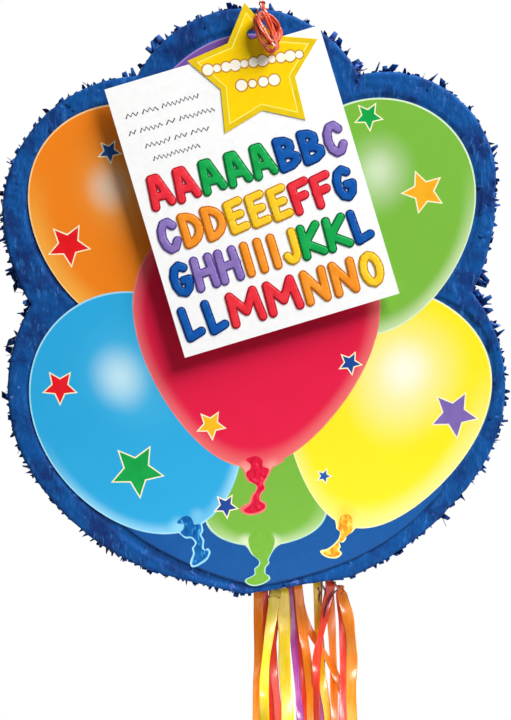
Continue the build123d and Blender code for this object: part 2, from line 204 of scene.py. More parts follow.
def grid_slab(top, low):
    """Points and faces of a sheet between two grids of points."""
    rows, columns = top.shape[:2]
    count = rows * columns
    faces = []
    for i in range(rows - 1):
        for j in range(columns - 1):
            a, b = i * columns + j, i * columns + j + 1
            c, d = b + columns, a + columns
            faces += [[a, b, c, d], [d + count, c + count, b + count, a + count]]
    ring = list(range(columns)) + [i * columns + columns - 1 for i in range(1, rows)]
    ring += [(rows - 1) * columns + j for j in range(columns - 2, -1, -1)]
    ring += [i * columns for i in range(rows - 2, 0, -1)]
    faces += [[a, a + count, b + count, b] for a, b in zip(ring, ring[1:] + ring[:1])]
    return np.concatenate([top.reshape(-1, 3), low.reshape(-1, 3)]), faces


def sweep(path, half_width, half_thick, start_side, sides=10, twist=None, power=2.0):
    """A rounded strip or tube along a path: a superellipse section, wide along the side direction."""
    _, side, normal = frames_along(path, start_side)
    if twist is not None:
        c, s = np.cos(twist)[:, None], np.sin(twist)[:, None]
        side, normal = side * c + normal * s, normal * c - side * s
    angles = np.linspace(0, 2 * math.pi, sides, endpoint=False)
    across = np.sign(np.cos(angles)) * np.abs(np.cos(angles)) ** (2 / power)
    up = np.sign(np.sin(angles)) * np.abs(np.sin(angles)) ** (2 / power)
    wide = np.broadcast_to(np.asarray(half_width, float), len(path))
    thick = np.broadcast_to(np.asarray(half_thick, float), len(path))
    return (
        path[:, None]
        + side[:, None] * (across * wide[:, None])[..., None]
        + normal[:, None] * (up * thick[:, None])[..., None]
    )


# ---- materials ----
def rgb(red, green, blue):
    """A colour given as display values from 0 to 255, in linear light."""
    shares = [c / 255 for c in (red, green, blue)]
    return (*[share / 12.92 if share <= 0.04 else ((share + 0.055) / 1.055) ** 2.4 for share in shares], 1)


class Recipe:
    """A node material being made. Each method adds a node and returns its output."""

    def __init__(self, name, **constants):
        self.material = bpy.data.materials.new(name)
        self.material.use_nodes = True
        self.tree = self.material.node_tree
        self.shader = self.tree.nodes["Principled BSDF"]
        self.place = self.node("ShaderNodeTexCoord").outputs["Object"]
        for key, value in constants.items():
            self.shader.inputs[key.replace("_", " ")].default_value = value

    def node(self, kind, **settings):
        node = self.tree.nodes.new(kind)
        for key, value in settings.items():
            setattr(node, key, value)
        return node

    def feed(self, socket, value):
        if isinstance(value, bpy.types.NodeSocket):
            self.tree.links.new(value, socket)
        else:
            socket.default_value = value

    def math(self, operation, *values, clamp=False):
        node = self.node("ShaderNodeMath", operation=operation, use_clamp=clamp)
        for socket, value in zip(node.inputs, values):
            self.feed(socket, value)
        return node.outputs[0]

    def vector(self, operation, *values, out=0):
        node = self.node("ShaderNodeVectorMath", operation=operation)
        for socket, value in zip(node.inputs, values):
            self.feed(socket, value)
        return node.outputs[out]

    def mix(self, share, a, b):
        node = self.node("ShaderNodeMix", data_type="RGBA")
        for index, value in ((0, share), (6, a), (7, b)):
            self.feed(node.inputs[index], value)
        return node.outputs[2]

    def fade(self, value, low, high, start=0.0, end=1.0):
        node = self.node("ShaderNodeMapRange", interpolation_type="SMOOTHSTEP")
        for index, part in enumerate((value, low, high, start, end)):
            self.feed(node.inputs[index], part)
        return node.outputs[0]

    def stretched(self, scale, turn=(0, 0, 0)):
        node = self.node("ShaderNodeMapping")
        self.feed(node.inputs["Vector"], self.place)
        node.inputs["Scale"].default_value = scale
        node.inputs["Rotation"].default_value = [math.radians(a) for a in turn]
        return node.outputs[0]

    def noise(self, size, detail=3.0, roughness=0.5, place=None, distortion=0.0):
        """Noise whose features are about that many millimetres."""
        node = self.node("ShaderNodeTexNoise")
        self.feed(node.inputs["Vector"], self.place if place is None else place)
        node.inputs["Scale"].default_value = 1 / (size * MM)
        node.inputs["Detail"].default_value = detail
        node.inputs["Roughness"].default_value = roughness
        node.inputs["Distortion"].default_value = distortion
        return node.outputs[0]

    def colour(self, value):
        self.feed(self.shader.inputs["Base Color"], value)

    def rough(self, value):
        self.feed(self.shader.inputs["Roughness"], value)

    def bump(self, height, depth, strength=1.0):
        """Relief of that many millimetres."""
        node = self.node("ShaderNodeBump")
        node.inputs["Strength"].default_value = strength
        node.inputs["Distance"].default_value = depth * MM
        self.feed(node.inputs["Height"], height)
        self.feed(self.shader.inputs["Normal"], node.outputs[0])


def tissue(name, main, light, dark):
    """Crepe paper: fine creases with painted highlights on their ridges and painted shade in their hollows,
    pale streaks that are painted highlights along its wrinkles, and blotches where the dye is thick.
    """
    r = Recipe(name, Sheen_Weight=0.06, Sheen_Roughness=0.5, Specular_IOR_Level=0.12)
    blotch = r.noise(26, 4, 0.6)
    streak = r.noise(5, 4, 0.65, r.stretched((1.6, 1.0, 0.45)), 0.6)
    creases = r.noise(1.3, 3, 0.7, r.stretched((1.0, 1.0, 0.3)))
    colour = r.mix(r.fade(blotch, 0.4, 0.66), rgb(*main), rgb(*dark))
    # pale streaks along the wrinkles: painted highlights
    colour = r.mix(r.fade(streak, 0.52, 0.74), colour, rgb(*light))
    # crease ridges lightened as painted highlights, crease hollows darkened as painted shade
    colour = r.mix(r.fade(creases, 0.55, 0.75, 0, 0.25), colour, rgb(*light))
    colour = r.mix(r.fade(creases, 0.46, 0.3, 0, 0.55), colour, rgb(*dark))
    r.colour(colour)
    r.rough(r.fade(streak, 0.3, 0.8, 0.5, 0.75))
    r.bump(r.math("ADD", creases, r.math("MULTIPLY", streak, 0.8)), 0.35, 0.8)
    return r.material


def card_material():
    """Brown corrugated card: fibres, flecks and the faint lines of its flutes."""
    r = Recipe("kraft_card", Specular_IOR_Level=0.2)
    fibres = r.noise(1.2, 5, 0.7, r.stretched((1, 1, 0.25)))
    patches = r.noise(40, 3)
    wave = r.node("ShaderNodeTexWave", wave_type="BANDS", bands_direction="X")
    r.feed(wave.inputs["Vector"], r.place)
    wave.inputs["Scale"].default_value = 48
    wave.inputs["Distortion"].default_value = 0.6
    colour = r.mix(r.fade(patches, 0.35, 0.7), rgb(186, 146, 100), rgb(166, 126, 82))
    colour = r.mix(r.fade(fibres, 0.5, 0.75, 0, 0.5), colour, rgb(128, 92, 56))
    colour = r.mix(r.math("MULTIPLY", wave.outputs[1], 0.12), colour, rgb(140, 104, 66))
    r.colour(colour)
    r.rough(r.fade(fibres, 0.2, 0.8, 0.75, 0.95))
    r.bump(r.math("ADD", fibres, r.math("MULTIPLY", wave.outputs[1], 0.6)), 0.25, 0.6)
    return r.material


def card_tooth(r, low, high):
    """Coated card's faint tooth, in its gloss and its relief."""
    grain = r.noise(0.9, 3)
    r.rough(r.fade(grain, 0.3, 0.7, low, high))
    r.bump(grain, 0.02, 0.4)


def ink(name, colour, other=None, gloss=0.35):
    """Printed ink on coated card: slightly uneven, with the card's faint tooth."""
    r = Recipe(name, Specular_IOR_Level=0.15)
    grain = r.noise(0.9, 3, 0.6)
    cloud = r.noise(14, 3)
    other = other or tuple(max(0, c - 8) for c in colour)
    shade = r.mix(r.fade(cloud, 0.35, 0.7), rgb(*colour), rgb(*other))
    r.colour(r.mix(r.fade(grain, 0.5, 0.8, 0, 0.02), shade, rgb(255, 255, 255)))
    r.rough(r.fade(grain, 0.3, 0.7, gloss, gloss + 0.12))
    r.bump(grain, 0.02, 0.4)
    return r.material


def plastic(name, colour, glint, clear=0.0, roughness=0.22, bump=0.12):
    """Glossy ribbon or cord: stretched streaks along it and broad patches, both painted highlights in the
    glint colour.
    """
    r = Recipe(name, Coat_Weight=0.35, Coat_Roughness=0.12, Transmission_Weight=clear, IOR=1.46)
    streaks = r.noise(3, 4, 0.6, r.stretched((1.6, 1.6, 0.12)))
    patches = r.noise(24, 3, 0.5, r.stretched((1, 1, 0.5)))
    # broad patches and thin streaks mixed toward the glint colour: painted highlights
    shade = r.mix(r.fade(patches, 0.42, 0.68, 0, 0.55), rgb(*colour), rgb(*glint))
    r.colour(r.mix(r.fade(streaks, 0.5, 0.75, 0, 0.45), shade, rgb(*glint)))
    r.rough(r.fade(streaks, 0.3, 0.75, roughness, roughness + 0.15))
    r.bump(streaks, bump, 0.6)
    return r.material


def vinyl(name, colour, glint):
    """A puffy sticker's face: soft vinyl with small dimples, and soft patches painted toward the glint
    colour as painted highlights.
    """
    r = Recipe(name, Coat_Weight=0.06, Coat_Roughness=0.3, Specular_IOR_Level=0.2)
    dimples = r.noise(2.2, 3, 0.5)
    cloud = r.noise(9, 2)
    # cloudy patches mixed toward the glint colour: painted highlights
    shade = r.mix(r.fade(cloud, 0.4, 0.7, 0, 0.6), rgb(*colour), rgb(*glint))
    r.colour(shade)
    r.rough(r.fade(dimples, 0.3, 0.7, 0.3, 0.45))
    r.bump(dimples, 0.08, 0.5)
    return r.material


def paper_material():
    """The sticker sheet: smooth white release paper with a faint mottle."""
    r = Recipe("release_paper", Coat_Weight=0.2, Coat_Roughness=0.25)
    mottle = r.noise(6, 4, 0.6)
    tooth = r.noise(0.7, 3)
    r.colour(r.mix(r.fade(mottle, 0.4, 0.75), rgb(254, 254, 253), rgb(247, 248, 248)))
    r.rough(r.fade(tooth, 0.3, 0.7, 0.3, 0.42))
    r.bump(tooth, 0.02, 0.4)
    return r.material


def tape_material():
    """Clear packing tape, a little cloudy where it is rubbed down."""
    r = Recipe("clear_tape", Transmission_Weight=0.85, IOR=1.45, Coat_Weight=0.3)
    cloud = r.noise(11, 4, 0.65)
    r.colour(r.mix(r.fade(cloud, 0.4, 0.7), rgb(240, 240, 235), rgb(214, 222, 226)))
    r.rough(r.fade(cloud, 0.35, 0.7, 0.08, 0.4))
    r.bump(r.noise(4, 3, 0.5, r.stretched((0.3, 1, 1))), 0.1, 0.5)
    return r.material


# ---- the picture's balloons ----
class Egg:
    """A balloon's outline: an ellipse that widens or narrows with height, turned counter-clockwise."""

    def __init__(self, centre, half_width, half_height, swell, tilt):
        self.centre, self.tilt = np.array(centre), tilt
        self.half_width, self.half_height, self.swell = half_width, half_height, swell

    def at(self, angle, share=1.0):
        """The point in that direction, at that share of the way to the edge."""
        across, up = share * np.cos(angle), share * np.sin(angle)
        x = self.half_width * across * (1 + self.swell * up)
        z = self.half_height * up
        c, s = math.cos(math.radians(self.tilt)), math.sin(math.radians(self.tilt))
        return self.centre + np.stack([x * c - z * s, x * s + z * c], -1)

    def outline(self, margin=0.0, count=120):
        share = 1 - margin / ((self.half_width + self.half_height) / 2)
        return self.at(np.linspace(0, 2 * math.pi, count, endpoint=False), share)


def balloon_ink(name, egg, base, deep, shine, glow, spots):
    """A balloon's printed shading, from its base colour and a deeper one.

    shine is (place in the egg, radius, colour, strength). glow is (direction and spread in degrees, width as
    a share of the egg, colour, strength). spots are (X, Z, radius, colour, strength).
    """
    r = Recipe(name, Specular_IOR_Level=0.15)
    into = r.node("ShaderNodeMapping", vector_type="TEXTURE")
    r.feed(into.inputs["Vector"], r.place)
    into.inputs["Location"].default_value = (egg.centre[0] * MM, 0, egg.centre[1] * MM)
    into.inputs["Rotation"].default_value = (0, -math.radians(egg.tilt), 0)
    into.inputs["Scale"].default_value = (egg.half_width * MM, 1, egg.half_height * MM)
    parts = r.node("ShaderNodeSeparateXYZ")
    r.feed(parts.inputs[0], into.outputs[0])
    widen = r.math("MULTIPLY_ADD", parts.outputs[2], egg.swell, 1.0)
    join = r.node("ShaderNodeCombineXYZ")
    r.feed(join.inputs[0], r.math("DIVIDE", parts.outputs[0], widen))
    r.feed(join.inputs[2], parts.outputs[2])
    flat = join.outputs[0]
    share = r.vector("LENGTH", flat, out=1)
    cloud = r.noise(30, 2)
    colour = r.mix(r.fade(cloud, 0.4, 0.65, 0, 0.35), rgb(*base), rgb(*deep))
    for direction, spread, width, tint, strength in glow:
        a = math.radians(direction)
        facing = r.vector("DOT_PRODUCT", r.vector("NORMALIZE", flat), (math.cos(a), 0, math.sin(a)), out=1)
        near = r.fade(share, 1 - width, 1.0)
        amount = r.math("MULTIPLY", near, r.fade(facing, math.cos(math.radians(spread)), 1.0, 0, strength))
        colour = r.mix(amount, colour, rgb(*tint))
    for (across, up), radius, tint, strength in shine:
        away = r.vector("DISTANCE", flat, (across, 0, up), out=1)
        colour = r.mix(r.fade(away, radius, 0.0, 0, strength), colour, rgb(*tint))
    for x, z, radius, tint, strength in spots:
        there = (x * MM, PICTURE_FRONT * MM, z * MM)
        away = r.vector("DISTANCE", r.place, there, out=1)
        colour = r.mix(r.fade(away, radius * MM, 0.0, 0, strength), colour, rgb(*tint))
    r.colour(colour)
    card_tooth(r, 0.32, 0.44)
    return r.material


def knot_ink(name, base, dark, bright):
    """The wrinkled rubber of a balloon's knot, as printed."""
    r = Recipe(name, Specular_IOR_Level=0.15)
    folds = r.noise(4.5, 2, 0.5, r.stretched((1.4, 1, 0.7)), 0.8)
    colour = r.mix(r.fade(folds, 0.46, 0.62), rgb(*base), rgb(*dark))
    colour = r.mix(r.fade(folds, 0.42, 0.3), colour, rgb(*bright))
    r.colour(colour)
    card_tooth(r, 0.32, 0.44)
    return r.material


# ---- flat artwork: shapes laid over each other and cut into one mesh ----
CUT_TOLERANCE = 1e-4
TIGHTEST_CORNER = 0.35  # keeps a sharp corner's offset from running far out


def inside(points, polygon):
    """Which points lie in the polygon."""
    x, z = points[:, 0][:, None], points[:, 1][:, None]
    a, b = polygon, np.roll(polygon, -1, axis=0)
    spans = (a[:, 1] > z) != (b[:, 1] > z)
    rise = np.where(b[:, 1] == a[:, 1], 1e-12, b[:, 1] - a[:, 1])
    crossing = (b[:, 0] - a[:, 0]) * (z - a[:, 1]) / rise + a[:, 0]
    return (spans & (x < crossing)).sum(1) % 2 == 1


def area_of(polygon):
    x, z = polygon.T
    return 0.5 * np.sum(x * np.roll(z, -1) - z * np.roll(x, -1))


def inset(polygon, amount):
    """The polygon moved inward by that much, or outward where amount is negative."""
    polygon = np.asarray(polygon, float)
    if area_of(polygon) < 0:
        polygon = polygon[::-1]
    before = polygon - np.roll(polygon, 1, axis=0)
    after = np.roll(polygon, -1, axis=0) - polygon
    before /= np.linalg.norm(before, axis=1)[:, None]
    after /= np.linalg.norm(after, axis=1)[:, None]
    n1 = np.stack([-before[:, 1], before[:, 0]], 1)
    n2 = np.stack([-after[:, 1], after[:, 0]], 1)
    total = n1 + n2
    reach = 2 / np.maximum((total**2).sum(1), TIGHTEST_CORNER)
    return polygon + total * reach[:, None] * amount


def rounded(points, steps=4):
    """A closed smooth line through the given points."""
    points = np.asarray(points, float)
    a, b = np.roll(points, 1, axis=0), points
    c, d = np.roll(points, -1, axis=0), np.roll(points, -2, axis=0)
    out = []
    for t in np.arange(steps) / steps:
        out.append(
            0.5 * (2 * b + (c - a) * t + (2 * a - 5 * b + 4 * c - d) * t**2 + (3 * b - a - 3 * c + d) * t**3)
        )
    return np.stack(out, 1).reshape(-1, 2)


def star(centre, outer, inner, tilt):
    """A five-pointed star's outline, its first tip at tilt degrees from straight up."""
    angles = np.radians(90 + tilt + 36 * np.arange(10))
    radii = np.where(np.arange(10) % 2 == 0, outer, inner)
    return np.array(centre) + radii[:, None] * np.stack([np.cos(angles), np.sin(angles)], 1)


def circle(centre, radius, count=32):
    angles = np.linspace(0, 2 * math.pi, count, endpoint=False)
    return np.array(centre) + radius * np.stack([np.cos(angles), np.sin(angles)], 1)


def only_used(flat, triangles):
    """The points that the triangles use, and the triangles numbered to match."""
    used, triangles = np.unique(triangles, return_inverse=True)
    return flat[used], triangles.reshape(-1, 3)


def cut_plane(outlines, loose=()):
    """The plane cut along closed outlines and through loose points: points, triangles and their middles."""
    points, edges = [], []
    for outline in outlines:
        start = len(points)
        points += [Vector(p) for p in outline]
        edges += [(start + i, start + (i + 1) % len(outline)) for i in range(len(outline))]
    points += [Vector(p) for p in loose]
    cut, _, triangles, _, _, _ = delaunay_2d_cdt(points, edges, [], 0, CUT_TOLERANCE, False)
    flat = np.array(cut)
    triangles = np.array([t for t in triangles if len(t) == 3])
    return flat, triangles, flat[triangles].mean(1)


def flat_art(name, layers, front, back, body, holes=()):
    """One card cut from layers of (outline, material), each laid over the ones before it."""
    materials = list(dict.fromkeys(material for _, material in layers))
    outlines = [np.asarray(outline, float) for outline, _ in layers] + [np.asarray(h, float) for h in holes]
    flat, triangles, middles = cut_plane(outlines)
    kinds = np.full(len(triangles), -1)
    for outline, material in layers:
        kinds[inside(middles, np.asarray(outline, float))] = materials.index(material)
    for hole in holes:
        kinds[inside(middles, np.asarray(hole, float))] = -1
    flat, triangles = only_used(flat, triangles[kinds >= 0])
    kinds = kinds[kinds >= 0]
    triangles = facing(flat, triangles, 1)
    solid = np.vstack([np.insert(flat, 1, front, axis=1), np.insert(flat, 1, back, axis=1)])
    faces, owners = slab_faces(triangles, len(flat))
    every_kind = [*kinds, *kinds, *kinds[owners]]
    return mesh_piece(name, solid, faces, materials, body, every_kind, smooth=False)


# ---- outlines read from the CAD nodes ----
def front_loops(node):
    """The outlines of a node's front face in X and Z, the longest first."""
    mesh = NODES[node].data
    places = np.array([v.co for v in mesh.vertices]) / MM
    front = places[:, 1].min()
    corner = {}
    for index, (x, y, z) in enumerate(places):
        if y < front + 0.01:
            corner[index] = (round(x, 2), round(z, 2))
    edges = set()
    for face in mesh.polygons:
        if all(v in corner for v in face.vertices):
            ring = [corner[v] for v in face.vertices]
            edges.update(zip(ring, ring[1:] + ring[:1]))
    following = {a: b for a, b in edges if (b, a) not in edges and a != b}
    loops = []
    while following:
        start = next(iter(following))
        loop, here = [], start
        while here in following:
            loop.append(here)
            here = following.pop(here)
        if len(loop) > 2:
            loops.append(np.array(loop))
    return sorted(loops, key=len, reverse=True)


def outer_loop(node):
    return max(front_loops(node), key=lambda loop: abs(area_of(loop)))


def evenly(loop, spacing):
    """The closed loop as points about that far apart, counter-clockwise."""
    if area_of(loop) < 0:
        loop = loop[::-1]
    ring = np.vstack([loop, loop[:1]])
    along = np.insert(np.cumsum(np.linalg.norm(np.diff(ring, axis=0), axis=1)), 0, 0)
    count = int(along[-1] / spacing)
    at = np.linspace(0, along[-1], count, endpoint=False)
    return np.stack([np.interp(at, along, ring[:, 0]), np.interp(at, along, ring[:, 1])], 1)


def outward(points):
    """Unit normals of an even closed loop, smoothed over its corners."""
    tangent = np.roll(points, -3, axis=0) - np.roll(points, 3, axis=0)
    tangent /= np.linalg.norm(tangent, axis=1)[:, None]
    return np.stack([tangent[:, 1], -tangent[:, 0]], 1)


class Reach:
    """How far an outline lies from the middle of the walls, in each direction."""

    def __init__(self, node):
        points = evenly(outer_loop(node), 1.0) - WALL_CENTRE
        angles = np.arctan2(points[:, 1], points[:, 0])
        order = np.argsort(angles)
        self.angles, self.radii = angles[order], np.linalg.norm(points, axis=1)[order]

    def __call__(self, angles):
        return np.interp(angles, self.angles, self.radii, period=2 * math.pi)

    def depth(self, points):
        """How far inside the outline the points are, measured from the middle of the walls."""
        away = np.asarray(points) - WALL_CENTRE
        return self(np.arctan2(away[..., 1], away[..., 0])) - np.linalg.norm(away, axis=-1)


BODY_REACH = Reach("front_tissue")
PICTURE_REACH = Reach("picture_panel")
BODY_RING = evenly(outer_loop("front_tissue"), 2.0)
BODY_OUTWARD = outward(BODY_RING)


# ---- cords first: the pull ribbons ----
RIBBON_THICKNESS = 0.3
RIBBON_FIRST_Y = -24.2  # the frontmost ribbon's depth
RIBBON_PITCH = 2.4  # between the depths of ribbons
ORANGE = plastic("ribbon_orange", (255, 134, 22), (255, 182, 92))
RED = plastic("ribbon_red", (240, 66, 40), (250, 124, 128))
YELLOW = plastic("ribbon_yellow", (255, 214, 12), (255, 240, 130))
PURPLE = plastic("ribbon_purple", (160, 66, 150), (226, 150, 206))
# Each ribbon: its paint, width, place from front to back, largest twist in degrees, and route in X and Z.
RIBBONS = [
    (ORANGE, 9, 6, 24, [(-4.5, -534.5), (-3.6, -586), (-5.5, -639), (-9, -740), (-6, -835), (-10, -925)]),
    (RED, 8, 9, -30, [(1, -532), (3.6, -577), (0, -622), (3, -705), (-1, -815), (2, -930)]),
    (
        YELLOW, 10, 0, 38,
        [(12, -532.6), (4.1, -582), (0.5, -618), (1.6, -660), (6, -735), (3, -835), (7, -935)],
    ),
    (RED, 9, 11, 22, [(13, -532), (9.5, -575), (5.5, -616), (12, -690), (9, -790), (14, -905)]),
    (RED, 8, 8, -26, [(9.5, -531), (8, -595), (14, -640), (20, -725), (15, -820), (19, -915)]),
    (
        YELLOW, 12, 2, 20,
        [(18, -531), (20, -567), (19.4, -604), (23.7, -655), (21, -740), (26, -840), (23, -940)],
    ),
    (PURPLE, 7, 5, -34, [(24, -529.5), (30, -600), (35, -655), (38, -740), (33, -835), (37, -928)]),
    (RED, 9, 7, 28, [(28, -528), (34.3, -574), (39, -630), (36, -730), (42, -825), (39, -918)]),
    (
        ORANGE, 9, 4, -24,
        [(32, -527), (36, -569), (42, -604), (44.6, -655), (47, -740), (43, -840), (48, -935)],
    ),
    (
        ORANGE, 7, 12, 30,
        [
            (31, -527), (38, -563), (52, -586), (65, -606), (75, -633), (82, -680), (86, -755),
            (82, -845), (87, -930),
        ],
    ),
    (
        RED, 9, 3, 44,
        [(62.8, -524.5), (55.5, -563), (48.2, -596), (48.6, -655), (52, -740), (48, -835), (53, -925)],
    ),
    (RED, 8, 10, -20, [(70, -535), (74.6, -572), (74, -630), (72, -730), (77, -830), (74, -920)]),
    (
        ORANGE, 11, 1, 26,
        [(72.5, -537), (79.5, -563), (82, -594), (80, -630), (86, -720), (81, -830), (85, -938)],
    ),
    (ORANGE, 8, 13, -28, [(61, -523), (64, -575), (66.4, -640), (63, -735), (67, -830), (64, -922)]),
    (
        YELLOW, 8, 14, 22,
        [(50, -525.5), (51, -577), (54.5, -615), (62, -660), (60, -745), (56, -840), (60, -932)],
    ),
    (PURPLE, 7, 15, -24, [(52, -524), (50.5, -560), (56, -610), (52, -700), (57, -800), (54, -900)]),
]  # fmt: skip
KNOTTED = (12, 13)  # the ribbons tied on the door's knot


def declare_cord(path, diameter):
    points = [[float(c) * MM for c in p] for p in path]
    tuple(points[0])


def pull_ribbon(number, paint, width, place, twist, route):
    depth = RIBBON_FIRST_Y + place * RIBBON_PITCH
    points = [(x, depth, z) for x, z in route]
    if number in KNOTTED:
        points.insert(0, tuple(middle_of("ribbon_knot") + (0, 0, 1.5)))
    path = spline_path(points, 12)
    along = np.linspace(0, 1, len(path))
    wave = np.sin(2 * math.pi * (1.7 * along + 0.13 * number))
    turn = np.radians(twist) * wave * smooth_step(along, 0, 0.15)
    half_width = width / 2 * (1 - 0.12 * np.sin(2 * math.pi * (2.3 * along + 0.31 * number)) ** 2)
    if number in KNOTTED:
        half_width = half_width * (0.3 + 0.7 * smooth_step(along, 0, 0.09))
    rings = sweep(path, half_width, RIBBON_THICKNESS / 2, (1, 0, 0), 12, turn, 3.2)
    name = f"pull_ribbon_{number:02d}_strip"
    piece = mesh_piece(name, rings.reshape(-1, 3), loft(rings), [paint], "ribbons")
    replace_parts(piece, f"pull_ribbon_{number:02d}")
    declare_cord(path, width)


for number, ribbon in enumerate(RIBBONS, start=1):
    pull_ribbon(number, *ribbon)


# ---- the hanging cord and its hank ----
CORD_PAINT = plastic("orange_cord", (236, 84, 48), (255, 212, 198), 0.18, 0.14, 0.35)
DARK_CORD_PAINT = plastic("dark_red_cord", (150, 34, 22), (214, 92, 66), 0.05, 0.2, 0.3)
HANK_WIDTH = 3.0  # of the flat cord, and its thickness
HANK_THICKNESS = 1.4
HANK_CENTRE = (5.5, -25.5)
HANK_TILT = 25.0
HANK_TURNS = 10
POINTS_PER_TURN = 14
FIRST_HANK_POINT = 4  # where the neck runs into the first turn
HANK_HALF_WIDTH = 6.4
HANK_HALF_HEIGHT = 17.6
SHORT_HALF_HEIGHT = 9.5
SHORT_LIFT = 6.5
HANK_WOBBLE = 0.9
HANK_Y = -69.0
HANK_HALF_DEPTH = 4.2
LEAD_ROUTE = [(0, -3.7, 1), (0.6, -18, 2.4), (-0.6, -34, 3.0), (-1, -50.6, 1.5)]
NECK_ROUTE = [(-1, -57.4, 1.5), (-0.5, -62, 0.5), (0.5, -67, -3.0), (1.5, -69, -7.0)]
TIE_ROUTE = [
    (-2.5, -55, -1.9), (-7, -56.8, -8), (-9.7, -57.3, -19), (-9.5, -59, -23.6),
    (-9.1, -62.8, -23.6), (-8.1, -65.2, -19.5), (-6.4, -66.5, -15),
]  # fmt: skip
TIE_CORD = 1.6
CORD_SIDES = 10
KNOT_STEPS = 96


def hank_turns():
    """Loose oval turns that differ in size, wound one in front of the other."""
    tilt_cos, tilt_sin = math.cos(math.radians(HANK_TILT)), math.sin(math.radians(HANK_TILT))
    points = []
    for i in range(FIRST_HANK_POINT, HANK_TURNS * POINTS_PER_TURN + 1):
        turn = i / POINTS_PER_TURN
        angle = math.radians(90) - 2 * math.pi * turn
        half_width = HANK_HALF_WIDTH + 3.3 * math.sin(2.6 * turn + 0.4) + 0.5 * math.sin(7.1 * turn)
        half_height = HANK_HALF_HEIGHT + 2.2 * math.cos(1.9 * turn) + 0.9 * math.sin(5.3 * turn)
        across = half_width * math.cos(angle) + 1.8 * math.sin(1.7 * turn + 1.0)
        # some turns are short and stay in the upper part
        short = 0.5 + 0.5 * math.sin(1.9 * turn - 0.4) ** 3
        half_height += (SHORT_HALF_HEIGHT - half_height) * short
        half_width = min(half_width + 2.5 * short, half_height)
        # straight sides between round ends
        run = max(-1.0, min(1.0, 1.5 * math.sin(angle)))
        up = (half_height - half_width) * run + half_width * math.sin(angle) + SHORT_LIFT * short
        x = HANK_CENTRE[0] + across * tilt_cos - up * tilt_sin + HANK_WOBBLE * math.sin(9.7 * turn)
        z = HANK_CENTRE[1] + across * tilt_sin + up * tilt_cos + HANK_WOBBLE * math.cos(11.3 * turn)
        points.append((x, HANK_Y + HANK_HALF_DEPTH * math.sin(1.3 * turn + 2.6), z))
    return points


def round_cord(name, path, width, thickness, paint, body):
    rings = sweep(path, width / 2, thickness / 2, (1, 0.2, 0.1), CORD_SIDES)
    return mesh_piece(name, rings.reshape(-1, 3), loft(rings), [paint], body)


hank_path = spline_path(LEAD_ROUTE + NECK_ROUTE + hank_turns(), 6)
hank_cord = round_cord("hanging_cord", hank_path, HANK_WIDTH, HANK_THICKNESS, CORD_PAINT, "hank")
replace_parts(hank_cord, "hank_lead", "hank_neck", "hanging_hank")
declare_cord(hank_path, HANK_WIDTH)

tie_path = spline_path(TIE_ROUTE, 10)
tie = round_cord("tag_tie_cord", tie_path, TIE_CORD, TIE_CORD, DARK_CORD_PAINT, "hank")
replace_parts(tie, "tag_tie")
declare_cord(tie_path, TIE_CORD)


def knot(name, centre, radius, strand, paint, body, node):
    """A strand crossed over itself three times and pulled tight."""
    t = np.linspace(0, 2 * math.pi, KNOT_STEPS, endpoint=False)
    path = np.stack([np.sin(t) + 2 * np.sin(2 * t), 1.5 * np.sin(3 * t), np.cos(t) - 2 * np.cos(2 * t)], 1)
    path *= (radius - strand) / 3
    path += centre
    before, after = np.roll(path, 1, axis=0), np.roll(path, -1, axis=0)
    tangent = after - before
    tangent /= np.linalg.norm(tangent, axis=1)[:, None]
    side = np.cross(tangent, (0, 1, 0.01))
    side /= np.linalg.norm(side, axis=1)[:, None]
    normal = np.cross(tangent, side)
    a = np.linspace(0, 2 * math.pi, CORD_SIDES, endpoint=False)
    c, s = np.cos(a)[:, None], np.sin(a)[:, None]
    rings = path[:, None] + strand * (side[:, None] * c + normal[:, None] * s)
    piece = mesh_piece(name, rings.reshape(-1, 3), loft(rings, looped=True), [paint], body)
    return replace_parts(piece, node)


knot("lead_knot_strand", middle_of("lead_knot"), 3.4, 1.0, DARK_CORD_PAINT, "hank", "lead_knot")
knot("loop_knot_strand", middle_of("loop_knot"), 3.6, 1.1, CORD_PAINT, "shell", "loop_knot")
knot("ribbon_knot_strand", middle_of("ribbon_knot"), 3.8, 1.2, ORANGE, "ribbons", "ribbon_knot")
CURL_INK = plastic("curl_dark", (96, 46, 74), (150, 90, 110))
CURL_BROWN = plastic("curl_brown", (196, 84, 52), (232, 140, 100))
CURLS = [
    # ink, half width, and the curl's points (x, z)
    (0, 0.9, [(70, -531), (65.5, -534.2), (61, -540.5), (57, -549.6), (55.5, -558)]),
    (1, 1.1, [(64.6, -526.2), (69.2, -531.4), (73.4, -530.2), (71.9, -537)]),
    (1, 0.9, [(62, -527), (66, -528), (70.4, -533), (74.4, -534)]),
    (0, 1.0, [(50, -530.4), (52.8, -534.2), (51, -538.7), (51.4, -543.4)]),
    (0, 1.0, [(53.7, -527.8), (58.2, -533.3), (57, -537)]),
    (0, 0.8, [(4.6, -538), (7.3, -541.5), (8.2, -547), (5.5, -543.4)]),
    (1, 0.8, [(6.3, -539.3), (10.7, -537.4), (15.5, -540.2)]),
]  # fmt: skip
curls = Bundle()
for kind, half, line in CURLS:
    path = spline_path([(x, -24.0 - 1.2 * math.sin(2.1 * i + x), z) for i, (x, z) in enumerate(line)], 8)
    rings = sweep(path, half, 0.12, (1, 0.3, 0), 8, np.linspace(0, 1.6, len(path)))
    curls.add(rings.reshape(-1, 3), loft(rings), kind)
curls.piece("ribbon_knot_ends", [CURL_INK, CURL_BROWN], "ribbons")


